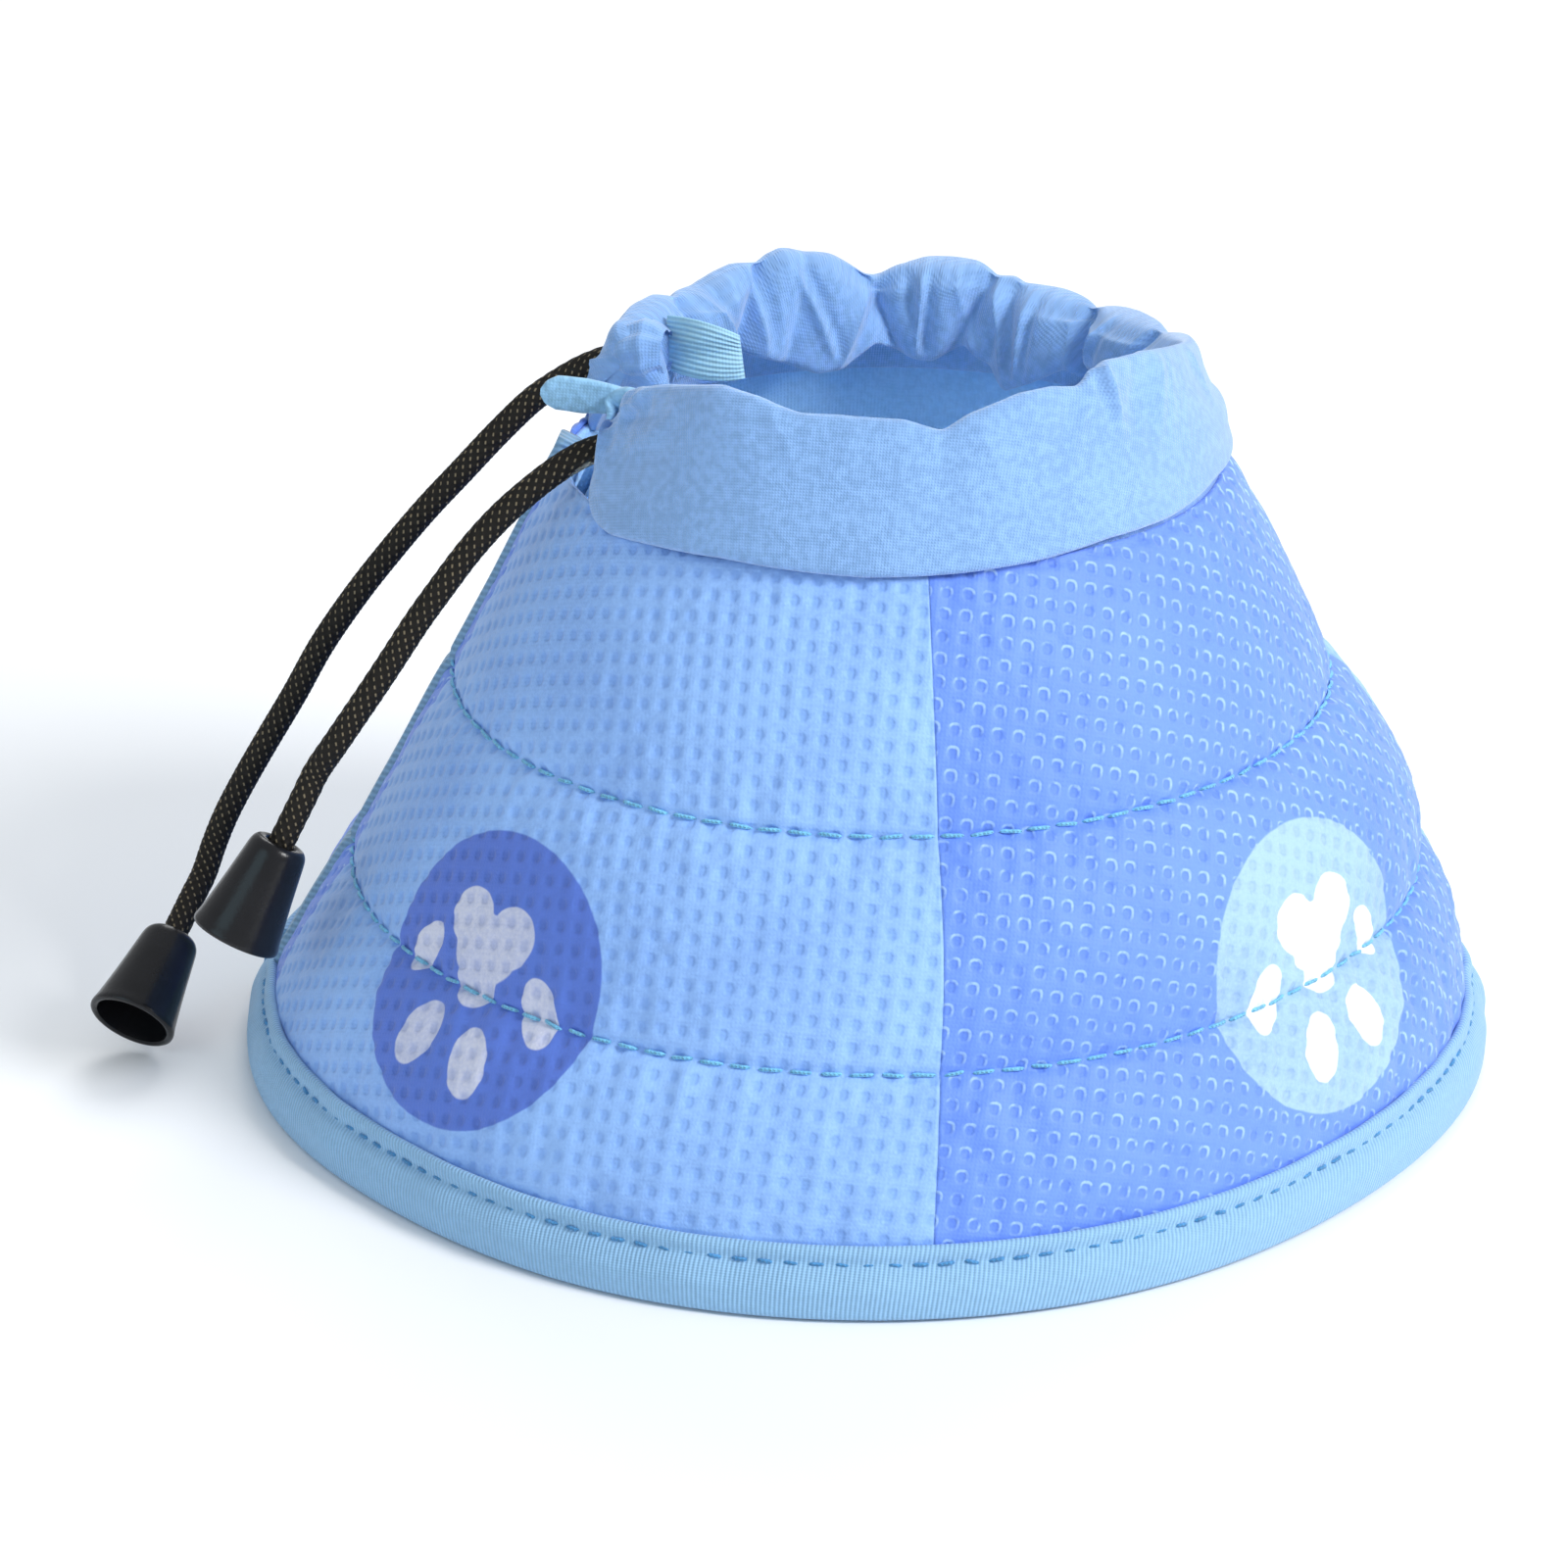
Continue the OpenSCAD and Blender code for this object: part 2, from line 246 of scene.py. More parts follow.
def cover_cloth():
    """Printed embossed mesh: two-tone panels, round emblems with a plain paw, painted shade in the dimples'
    hollows and a painted highlight on their upper rims on the dark panels.
    """
    m = Mat("printed_mesh", LIGHT, 0.62, 0.2, 0.4)
    vec, u, v = m.uv("flat")
    _, turn, _ = m.uv("turn")
    _, ex, ey = m.uv("emblem")

    def cell(x, pitch):
        """Place inside a cell of the dimple lattice, from -0.5 to 0.5."""
        return m.sub(m.math("FRACT", m.add(m.div(x, pitch), 0.5)), 0.5)

    def radius(x, y, power=2.0):
        return m.power(m.add(m.power(x, power), m.power(y, power)), 1 / power)

    light = m.ramp(m.math("FRACT", m.div(m.sub(turn, 0.1846), 0.18)), 0.5 + 0.0004, 0.5 - 0.0004)
    wide = m.noise(vec, 45.0, 4.0)
    fine = m.noise(vec, 1500.0, 2.0)
    wobble = m.mul(m.sub(m.noise(vec, 240.0, 2.0), 0.5), 0.22)

    # painted light on the dimples: painted shade in each hollow, and on the dark panels a painted highlight
    # on the arc above it
    su, sv = cell(u, PITCH_U), cell(v, PITCH_V)
    across = radius(m.math("ABSOLUTE", su), m.math("ABSOLUTE", sv), SQUARENESS)
    d = m.add(across, m.mul(wobble, 0.4))
    dot = m.ramp(d, 0.40, 0.12)
    ring = m.mul(m.ramp(d, 0.18, 0.25), m.ramp(d, 0.37, 0.29))
    patchy = m.ramp(m.noise(vec, 520.0, 2.0), 0.36, 0.58)
    upper = m.ramp(m.mad(su, 0.5, sv), -0.22, 0.20)
    lit = m.mul(m.mul(ring, patchy), m.mad(upper, 0.72, 0.12))
    base_l = m.mix(m.mul(dot, 0.62), LIGHT, LIGHT_HOLLOW_SHADE)
    base_d = m.mix(lit, m.mix(m.mul(dot, 0.5), DARK, DARK_HOLLOW_SHADE), DARK_RING_HIGHLIGHT)

    def blob(cx, cy, rx, ry, lean):
        """Distance from a toe's or pad's middle, 1 at its edge."""
        y = m.sub(ey, cy)
        x = m.sub(m.sub(ex, cx), m.mul(y, lean))
        return radius(m.div(x, rx), m.div(y, ry))

    toes = [(-0.63, 0.05, 0.135, 0.19, 0.35), (-0.35, -0.48, 0.17, 0.24, 0.2),
            (0.19, -0.52, 0.17, 0.24, -0.15), (0.56, -0.04, 0.165, 0.22, -0.35)]
    pads = [(-0.25, 0.36, 0.205, 0.21, 0.0), (0.15, 0.34, 0.205, 0.21, 0.0),
            (-0.05, 0.20, 0.30, 0.24, 0.0), (-0.05, 0.00, 0.19, 0.20, 0.0)]
    near = blob(*toes[0])
    for place in toes[1:] + pads:
        near = m.math("SMOOTH_MIN", near, blob(*place), 0.10)
    paw = m.ramp(m.add(near, m.mul(wobble, 0.35)), 1.02, 0.95)
    disc = m.ramp(m.add(radius(ex, ey), m.mul(wobble, 0.06)), 1.008, 0.992)
    # darker copies of the disc colours: painted shade in the dimples' hollows on the emblems
    disc_hollow_shade = m.mix(light, tuple(c * 0.86 for c in DISC_PALE), tuple(c * 0.78 for c in DISC_DARK))
    disc_c = m.mix(m.mul(dot, 0.7), m.mix(light, DISC_PALE, DISC_DARK), disc_hollow_shade)
    # painted shade in the paw's dimples, on the light panels only
    paw_c = m.mix(m.mul(dot, m.mul(light, 0.55)), m.mix(light, PAW_WHITE, PAW_LILAC), PAW_HOLLOW_SHADE)
    c = m.mix(disc, m.mix(light, base_d, base_l), disc_c)
    c = m.mix(m.mul(paw, disc), c, paw_c)
    shade = m.mad(wide, 0.5, m.mul(fine, 0.35))
    m.colour(m.mix(m.mul(m.ramp(shade, 0.55, 0.25), 0.30), c, SHADE))
    m.rough(m.mad(fine, 0.25, 0.48))
    weave = m.mul(m.wave(u, 0.0006), m.wave(v, 0.0006))
    m.bump(m.mad(weave, 0.5, fine), 0.00005)
    m.bump(m.sub(m.mul(ring, 0.4), dot), 0.00012, 0.7)
    return m


def braid_cloth():
    """Black braid with pale flecks, its strands crossing at one pitch in both directions."""
    m = Mat("braid", (0.02, 0.018, 0.015), 0.6, 0.0, 0.2)
    vec, u, v = m.uv("flat")
    fine = m.noise(vec, 700.0, 2.0)
    round_cord = m.mul(u, STRANDS * STRAND_W / BRAID_LAP)
    a, b = m.wave(m.add(round_cord, v), STRAND_W), m.wave(m.sub(round_cord, v), STRAND_W)
    fleck = m.mul(m.ramp(a, 0.80, 0.97), m.ramp(b, 0.35, 0.85))
    c = m.mix(m.mul(fine, 0.5), (0.006, 0.005, 0.004), (0.030, 0.024, 0.018))
    m.colour(m.mix(m.mul(fleck, 0.7), c, (0.30, 0.24, 0.15)))
    m.bump(m.mul(m.add(a, b), 0.5), 0.00012)
    return m


def plastic():
    """Glossy black moulded plastic with faint grain and duller, worn patches."""
    m = Mat("bell_plastic", (0.006, 0.006, 0.007), 0.24, 0.0, 0.35)
    vec = m.place()
    grain = m.noise(vec, 1800.0, 2.0)
    wear = m.noise(vec, 160.0, 4.0)
    m.colour(m.mix(wear, (0.004, 0.004, 0.005), (0.011, 0.011, 0.013)))
    m.rough(m.mad(wear, 0.20, 0.15))
    m.bump(grain, 0.00003)
    return m


def hook_loop(name, colour, scale):
    """Fuzzy hook or loop tape with faint rows."""
    m = Mat(name, colour, 0.9, 0.4, 0.2)
    vec, u, v = m.uv("flat")
    fuzz = m.noise(vec, scale, 6.0, 0.7)
    rows = m.mul(m.wave(u, 0.0012), m.wave(v, 0.0012))
    m.colour(m.mix(fuzz, tuple(c * 0.6 for c in colour), tuple(min(1, c * 1.2) for c in colour)))
    m.bump(m.add(fuzz, m.mul(rows, 0.5)), 0.0004)
    return m


def foam():
    """Pale open-cell foam."""
    m = Mat("foam", (0.80, 0.80, 0.78), 0.95, 0.0, 0.2)
    vec, _, _ = m.uv("flat")
    n = m.noise(vec, 900.0, 5.0)
    m.colour(m.mix(n, (0.62, 0.62, 0.60), (0.88, 0.88, 0.86)))
    m.bump(n, 0.0003)
    return m


M_COVER = cover_cloth()
M_CUFF = woven("cuff_cloth", CUFF, 0.00042, 0.00008, 0.85, 0.5, 0.06)
M_LINING = woven("lining_cloth", LINING, 0.0006, 0.00008, blotch=0.04)
M_TAPE = ribbed("rim_tape", TAPE, 0.00065, depth=0.00010, low=0.74)
# the edge tape takes the rim tape's colour darkened to 0.8: painted shade, as the edge bindings lie in shade
M_EDGE_TAPE_SHADED = ribbed("edge_tape", tuple(c * 0.8 for c in TAPE), 0.0009, False)
M_TAB = woven("tab_tape", (0.29, 0.55, 0.80), 0.0005, 0.00006)
M_END = ribbed("neck_tape", (0.42, 0.72, 0.90), 0.0008, False, 0.00016, 0.80)
M_THREAD = woven("stitch_thread", THREAD, 0.0006, 0.0001, 0.6)
M_RIMTHREAD = woven("rim_stitch_thread", (0.07, 0.30, 0.62), 0.0006, 0.0001, 0.6)
M_BRAID = braid_cloth()
M_BELL = plastic()
M_HOOK = hook_loop("hook_side", (0.25, 0.45, 0.70), 900.0)
M_LOOP = hook_loop("loop_side", (0.30, 0.52, 0.78), 500.0)
M_FOAM = foam()

# ---- floor
floor_m = Mat("floor", (0.93, 0.94, 0.95), 0.6, 0.0, 0.2)
fvec = floor_m.place()
floor_m.colour(floor_m.mix(floor_m.noise(fvec, 3.0, 2.0), (0.925, 0.935, 0.945), (0.945, 0.95, 0.96)))
bpy.ops.mesh.primitive_plane_add(size=8, location=(0, 0, -0.0002))
floor = bpy.context.object
floor.name = "floor"
floor.data.materials.append(floor_m.m)


# ---- shape helpers (millimetres)
def smooth01(t):
    t = np.clip(t, 0, 1)
    return t * t * (3 - 2 * t)


def unit(v):
    """v scaled to length one along its last axis."""
    return v / np.linalg.norm(v, axis=-1)[..., None]


def catmull(p, q, r, s, t):
    """Catmull-Rom curve from q, at t = 0, to r, at t = 1."""
    return 0.5 * (2 * q + (r - p) * t + (2 * p - 5 * q + 4 * r - s) * t**2 + (3 * q - p - 3 * r + s) * t**3)


def circles(centres, a, b, ang, r):
    """Points at the angles ang and radius r about each centre, in the plane of its directions a and b."""
    around = np.cos(ang)[..., None] * a[:, None] + np.sin(ang)[..., None] * b[:, None]
    return centres[:, None] + np.asarray(r)[..., None] * around


def spline(points, step=None, count=None):
    """Catmull-Rom through the points, evenly spaced."""
    p = np.asarray(points, float)
    p = np.vstack([2 * p[0] - p[1], p, 2 * p[-1] - p[-2]])
    t = np.linspace(0, 1, 24, endpoint=False)[:, None]
    out = [catmull(*p[i - 1:i + 3], t) for i in range(1, len(p) - 2)]
    out = np.vstack(out + [p[-2][None]])
    s = np.r_[0, np.cumsum(np.linalg.norm(np.diff(out, axis=0), axis=1))]
    n = count or max(2, int(round(s[-1] / step)) + 1)
    q = np.linspace(0, s[-1], n)
    return np.stack([np.interp(q, s, out[:, k]) for k in range(out.shape[1])], 1), s[-1]


def settle(p):
    """The soft cone stands a little skewed. Its rim has slid to the left, its left front (turn 222) and
    right front (turn 320) are flattened, it is wider at the right below mid height, and it is drawn in
    under the neck sleeve."""
    p = np.array(p, float)
    z = p[..., 2]
    turn = np.degrees(np.arctan2(p[..., 1], p[..., 0])) % 360
    flat = 0.034 * np.exp(-((turn - 320) / 27) ** 2) * (1 - smooth01(z / 95))
    flat = flat + 0.020 * np.exp(-((turn - 222) / 20) ** 2) * (1 - smooth01(z / 60))
    wide = 0.018 * np.exp(-(((turn + 180) % 360 - 183) / 32) ** 2) * np.exp(-((z - 40) / 17) ** 2)
    drawn_in = 0.012 * smooth01((z - 55) / 20) * (1 - smooth01((z - 86) / 8))
    slide = 3.1 * (1 - smooth01(z / 50))
    p[..., :2] *= (1 - flat + wide - drawn_in)[..., None]
    p[..., 0] -= slide
    return p


def set_uv(mesh, layer, values):
    """New UV layer from one (u, v) for each vertex."""
    loops = np.zeros(len(mesh.loops), np.int32)
    mesh.loops.foreach_get("vertex_index", loops)
    mesh.uv_layers.new(name=layer).data.foreach_set("uv", np.asarray(values, np.float32)[loops].ravel())


def make(name, verts, faces, mat, uvs):
    """Mesh object from millimetre points; uvs maps a layer's name to one (u, v) for each vertex."""
    me = bpy.data.meshes.new(name)
    faces = [np.asarray(f).tolist() for f in faces]
    me.from_pydata((np.asarray(verts) * 0.001).tolist(), [], faces)
    for layer, values in uvs.items():
        set_uv(me, layer, values)
    me.polygons.foreach_set("use_smooth", [True] * len(me.polygons))
    me.materials.append(mat.m)
    me.update()
    ob = bpy.data.objects.new(name, me)
    scene.collection.objects.link(ob)
    return ob


def quads(nu, nv, wrap):
    """Faces of a grid of nu rows by nv columns, the columns closing if wrap."""
    i = np.arange(nu - 1)[:, None]
    j = np.arange(nv if wrap else nv - 1)[None, :]
    k = (j + 1) % nv
    f = np.stack([i * nv + j, (i + 1) * nv + j, (i + 1) * nv + k, i * nv + k], -1)
    return f.reshape(-1, 4)


# The wall is a cone. Slant distance s runs up it from the hem seam, turns are degrees round it, and
# turns past 360 go on round to the rear of the opening.
HEM_R, HEM_Z = 91.6, 9
LEAN, RISE = 0.4486, 0.8937  # the slant's direction, inward and up
APEX = HEM_R / LEAN  # slant distance from the hem seam to the cone's tip
# slant of the hem seam, the two sewn lines and the sleeve's foot
HEM, LOWQ, UPQ, BAND = 0.0, 24.17, 57.07, 93.54
CHANNELS = ((HEM, LOWQ), (LOWQ, UPQ), (UPQ, BAND))
FAN0 = 257.0  # turn where the flat cloth's own axis lies
SPLIT = 274.6  # turn where the cover changes colour and its two pieces meet
COVER_FROM, COVER_TO = 175.8, 532.0
# turn of each emblem's middle, then their slant and radius
EMBLEMS = (49.6, 139.6, 223.1, 321.0, 409.6, 499.6)
EMBLEM_S, EMBLEM_R = 26.2, 21.8


def at(s, d):
    """(radius, height) of slant distance s above the hem seam and d outward."""
    return np.stack([HEM_R - LEAN * s + RISE * d, HEM_Z + RISE * s + LEAN * d], -1)


def turn_points(phi, sec):
    """sec is (phi, point, (r, z)); gives (phi, point, xyz)."""
    a = np.radians(phi)[:, None]
    return np.stack([sec[..., 0] * np.cos(a), sec[..., 0] * np.sin(a), sec[..., 1]], -1)


def flat_uv(phi, sec):
    """Where a point of the cone lies on the flat cloth, in metres, and its turn and slant as a second
    layer."""
    s = (HEM_R - sec[..., 0]) * LEAN + (sec[..., 1] - HEM_Z) * RISE
    rho = APEX - s
    psi = np.radians(phi - FAN0)[:, None] * LEAN
    flat = np.stack([rho * np.sin(psi), -rho * np.cos(psi)], -1) * 0.001
    turn = np.stack([np.broadcast_to(phi[:, None] * 0.001, s.shape), s * 0.001], -1)
    return {"flat": flat.reshape(-1, 2), "turn": turn.reshape(-1, 2)}


def sweep(name, phi, sec, mat, extra=None, sealed=False):
    """Skin of sections turned about the axis. Each end is closed by its own face, so edges stay crisp; on
    a sealed skin that face shares the skin's points and is shaded flat, so the sheet is one closed surface."""
    pts = settle(turn_points(phi, sec))
    nu, nv = pts.shape[:2]
    verts = pts.reshape(-1, 3)
    uvs = flat_uv(phi, sec)
    if extra:
        uvs.update({k: v.reshape(-1, 2) for k, v in extra.items()})
    first, last = np.arange(nv), np.arange(nu * nv - 1, nu * nv - nv - 1, -1)
    if not sealed:
        verts = np.vstack([verts, pts[0], pts[-1]])
        uvs = {k: np.vstack([uv, uv[:nv], uv[-nv:]]) for k, uv in uvs.items()}
        first, last = first + nu * nv, last + 2 * nv
    ob = make(name, verts, list(quads(nu, nv, True)) + [first, last], mat, uvs)
    if sealed:
        ob.data.polygons[-1].use_smooth = ob.data.polygons[-2].use_smooth = False
    return ob


def put(ob, side, nodes):
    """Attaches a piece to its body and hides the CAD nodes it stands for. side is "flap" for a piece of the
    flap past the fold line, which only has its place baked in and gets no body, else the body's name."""
    if side == "flap":
        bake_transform(ob)
    else:
        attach(ob, side)
    if nodes:
        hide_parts(*nodes)
    return ob

# ---- free cords
CORD_R = 2.0
FRONT_LINE = [
    (-38, -17.5, 102), (-40, -17.8, 101.3), (-42, -18, 100.5), (-45, -18.5, 99.5), (-48.5, -19, 97.5),
    (-52.5, -19.5, 94.5), (-57, -20, 90.5), (-61.5, -20.5, 85.5), (-66, -21, 79.5), (-69.5, -21, 74.5),
    (-73, -21, 69), (-76, -21.5, 64.5), (-79, -21.5, 60), (-82, -21.5, 55.5)
]
REAR_LINE = [
    (-38, 14, 104.5), (-41.5, 15, 103.5), (-45, 16, 101.9), (-47.5, 16.5, 100.5), (-51, 16.5, 98.3),
    (-54.5, 17, 95.5), (-59.5, 17, 90.5), (-65, 17, 84.5), (-70.5, 17, 78.5), (-76, 16.5, 72),
    (-81.5, 16, 65), (-87, 15.5, 57), (-91.5, 15, 49), (-96, 14.5, 41.5), (-99.5, 14, 35.5),
    (-102.5, 13, 30), (-104.5, 11.5, 25.5)
]
# each bell's mouth and the direction from its mouth to its cord
FRONT_MOUTH, FRONT_UP = np.array([-97.5, -26, 26.5]), unit(np.array([0.45, 0.2, 0.87]))
REAR_MOUTH, REAR_UP = np.array([-115.5, -13, 6.3]), unit(np.array([0.34, 0.76, 0.55]))
KNOT_AT = 9.0  # from the mouth to the knot's middle


def frames(line):
    """Tangent and two square directions along a line, without twist."""
    t = unit(np.gradient(line, axis=0))
    a = np.cross(t[0], (0, 0.2, 1.0))
    sides = []
    for k in t:
        a = unit(a - k * np.dot(a, k))
        sides.append(a)
    sides = np.array(sides)
    return t, sides, np.cross(t, sides)


def braided(name, points, around=32, lay=8.0):
    """Braided cord: two families of strands wound opposite ways, each riding over the other in turn."""
    line, length = spline(points, step=0.4)
    t, a, b = frames(line)
    run = np.linspace(0, length, len(line))
    ang = np.arange(around) * 2 * np.pi / around
    th, rn = np.meshgrid(ang, run)
    wound = np.pi * STRANDS * rn / lay
    r = CORD_R - 0.10 + 0.12 * np.maximum(np.cos(STRANDS * th + wound), np.cos(STRANDS * th - wound))
    pts = circles(line, a, b, th, r)
    n = len(line) * around
    verts = np.vstack([pts.reshape(-1, 3), line[0], line[-1]])
    uv = np.stack([th / (2 * np.pi) * BRAID_LAP, rn * 0.001], -1).reshape(-1, 2)
    uv = np.vstack([uv, uv[0], uv[-1]])
    faces = list(quads(len(line), around, True)[:, ::-1])
    for k in range(around):
        faces.append((n, k, (k + 1) % around))
        faces.append((n + 1, n - around + (k + 1) % around, n - around + k))
    return make(name, verts, faces, M_BRAID, {"flat": uv}), line, length


def at_bell(mouth, up, local):
    """Points given round a bell's own axis, its mouth at zero, put in place."""
    x = unit(np.cross((0, 1.0, 0.3), up))
    y = np.cross(up, x)
    return mouth + local[..., :1] * x + local[..., 1:2] * y + local[..., 2:] * up


def bell(name, mouth, up):
    """Moulded cord end: rolled lip, flared side, soft shoulder and a stepped bore."""
    outline = [(5.75, 0.25), (6.05, 0.02), (6.45, 0.0), (6.75, 0.2), (6.82, 0.6), (6.72, 1.1),
               (6.45, 2.2), (5.95, 5.0), (5.45, 8.0),
               (5.0, 11.0), (4.62, 13.6), (4.45, 14.6), (4.2, 15.3), (3.8, 15.8), (3.3, 16.0),
               (2.6, 15.95), (2.32, 15.7), (2.28, 14.6), (2.28, 13.2), (2.7, 12.8), (3.6, 12.5), (4.0, 11.6),
               (4.6, 8.0), (5.15, 4.5), (5.6, 1.2)]
    line, _ = spline(outline + [outline[0]], count=120)
    ang = np.radians(np.arange(0, 360, 5.0))[:, None]
    z = np.broadcast_to(line[:, 1], (len(ang), len(line)))
    loc = np.stack([line[:, 0] * np.cos(ang), line[:, 0] * np.sin(ang), z], -1)
    faces = quads(len(ang) + 1, len(line), False) % (len(ang) * len(line))
    return make(name, at_bell(mouth, up, loc.reshape(-1, 3)), faces, M_BELL, {})


def knot(name, mouth, up):
    """Overhand knot of the braid inside the bell: a short closed trefoil-like loop of cord."""
    t = np.linspace(0, 2 * np.pi, 90, endpoint=False)
    x, y = np.sin(t) + 1.6 * np.sin(2 * t), np.cos(t) - 1.6 * np.cos(2 * t)
    core = np.stack([x * 0.62, y * 0.62, KNOT_AT - 0.6 - 1.15 * np.sin(3 * t)], -1)
    line = at_bell(mouth, up, core)
    tan = unit(np.roll(line, -1, 0) - np.roll(line, 1, 0))
    a = unit(np.cross(tan, up))
    m = 16
    pts = circles(line, a, np.cross(tan, a), np.arange(m) * 2 * np.pi / m, 1.25)
    n = len(line)
    i, j = np.meshgrid(np.arange(n), np.arange(m), indexing="ij")
    j1, i1 = (j + 1) % m, (i + 1) % n
    f = np.stack([i * m + j, i * m + j1, i1 * m + j1, i1 * m + j], -1).reshape(-1, 4)
    uv = np.stack([j * BRAID_LAP / m, i * 0.0004], -1).reshape(-1, 2)
    return make(name, pts.reshape(-1, 3), f, M_BRAID, {"flat": uv})


def cord_set(side, points, mouth, up, body, bell_body):
    """One free end of cord with its knot and bell."""
    ends = [tuple(mouth + k * up) for k in (28, 24, 20, 16, 12, KNOT_AT)]
    ob, line, length = braided(side + "_cord", list(points) + ends)
    if side == "front":
        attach(ob, body)
    else:
        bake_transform(ob)
    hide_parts(side + "_tail")
    kn = put(knot(side + "_cord_knot", mouth, up), body, [side + "_knot"])
    be = put(bell(side + "_cord_bell", mouth, up), bell_body, [side + "_bell"])


cord_set("front", FRONT_LINE, FRONT_MOUTH, FRONT_UP, "closure_flap", "front_cord_end")
cord_set("rear", REAR_LINE, REAR_MOUTH, REAR_UP, "rear_cord", "rear_cord_end")


# ---- padded wall
ROWS = (8, 10, 11)  # simulated rows of cloth in each channel
COL = 2.0  # degrees between simulated columns


def cubic(a, x):
    """Catmull-Rom along the first axis of a, at places x counted in rows."""
    i = np.clip(np.floor(x).astype(int), 0, len(a) - 2)
    t = (x - i).reshape((-1,) + (1,) * (a.ndim - 1))
    return catmull(*(a[np.clip(i + k, 0, len(a) - 1)] for k in (-1, 0, 1, 2)), t)


def channel_rows(s):
    """For each channel that s reaches: its number, which of s lie in it, and where they lie across it, 0
    to 1."""
    for c, (lo, hi) in enumerate(CHANNELS):
        on = (s > lo) & (s < hi)
        if on.any():
            yield c, on, (s[on] - lo) / (hi - lo)


def arch(s):
    """Height of the quilting's swell along the slant: 0 at the sewn lines, 1 in the middle of each
    channel."""
    high = np.zeros(len(s))
    for _, on, t in channel_rows(s):
        high[on] = (4 * t * (1 - t)) ** 0.8
    return high


def cloth_puff():
    """Inflates the quilted wall between its stitched rows and returns, for each channel, the height of the
    bulge in millimetres on a grid of turn by row."""
    phi = np.arange(COVER_FROM, COVER_TO + COL * 0.5, COL)
    s_rows, pinned = [], []
    for (lo, hi), n in zip(CHANNELS, ROWS):
        rows = np.linspace(lo, hi, n)
        s_rows += list(rows if not s_rows else rows[1:])
        pinned += ([1] + [0] * (n - 2) + [1]) if not pinned else ([0] * (n - 2) + [1])
    s_rows, pinned = np.array(s_rows), np.array(pinned)
    nu, nv = len(phi), len(s_rows)
    sec = np.broadcast_to(at(s_rows, 0.0)[None], (nu, nv, 2))
    base = turn_points(phi, sec)
    rng = np.random.default_rng(7)
    free = (pinned == 0)[None, :] * np.ones((nu, 1))
    free[0] = free[-1] = 0
    a = np.radians(phi)[:, None]
    normal = np.stack([RISE * np.cos(a), RISE * np.sin(a), np.full_like(a, LEAN)], -1)
    start = base + (0.5 + 0.35 * rng.standard_normal((nu, nv)))[..., None] * free[..., None] * normal
    me = bpy.data.meshes.new("puff")
    me.from_pydata((start.reshape(-1, 3) * 0.01).tolist(), [], quads(nu, nv, False).tolist())
    me.update()
    ob = bpy.data.objects.new("puff", me)
    scene.collection.objects.link(ob)
    group = ob.vertex_groups.new(name="pin")
    group.add(np.flatnonzero(free.ravel() == 0).tolist(), 1.0, "REPLACE")
    mod = ob.modifiers.new("cloth", "CLOTH")
    st = mod.settings
    st.quality = 5
    st.mass = 0.3
    st.tension_stiffness = st.compression_stiffness = 14
    st.shear_stiffness = 8
    st.bending_stiffness = 0.35
    st.use_pressure = True
    st.uniform_pressure_force = 4
    st.vertex_group_mass = "pin"
    st.shrink_min = -0.035
    st.effector_weights.gravity = 0
    mod.point_cache.frame_start, mod.point_cache.frame_end = 1, 20
    for k in range(1, 21):
        scene.frame_set(k)
    bpy.context.view_layer.update()
    got = ob.evaluated_get(bpy.context.evaluated_depsgraph_get()).data
    co = np.zeros(nu * nv * 3)
    got.vertices.foreach_get("co", co)
    co = co.reshape(nu, nv, 3) * 100
    h = ((co - base) * normal).sum(-1)
    scene.frame_set(1)
    bpy.data.objects.remove(ob)
    bpy.data.meshes.remove(me)
    out, k = [], 0
    for n in ROWS:
        out.append(h[:, k:k + n])
        k += n - 1
    return out


puffed = cloth_puff()
# the simulated swell as a share of its mean along the turn, which is what bulge() uses
UNEVEN = []
for g in puffed:
    g = g / np.clip(g.mean(0), 0.05, None)
    g[:, 0], g[:, -1] = g[:, 1], g[:, -2]
    UNEVEN.append(np.clip(g, 0.35, 1.7))


def turn_gap(phi, centre):
    """Degrees between turns, whichever way round is shorter."""
    return np.abs((phi - centre + 180) % 360 - 180)


def amplitude(phi, channel):
    """Mean height of a channel's outward swell in millimetres: more at the right, less beside the opening."""
    right = np.exp(-(turn_gap(phi, 352) / 34) ** 2)
    left = np.exp(-(turn_gap(phi, 190) / 22) ** 2)
    return (1.75, 2.0, 1.7)[channel] + (0.5, 0.8, 0.3)[channel] * right - 0.7 * left


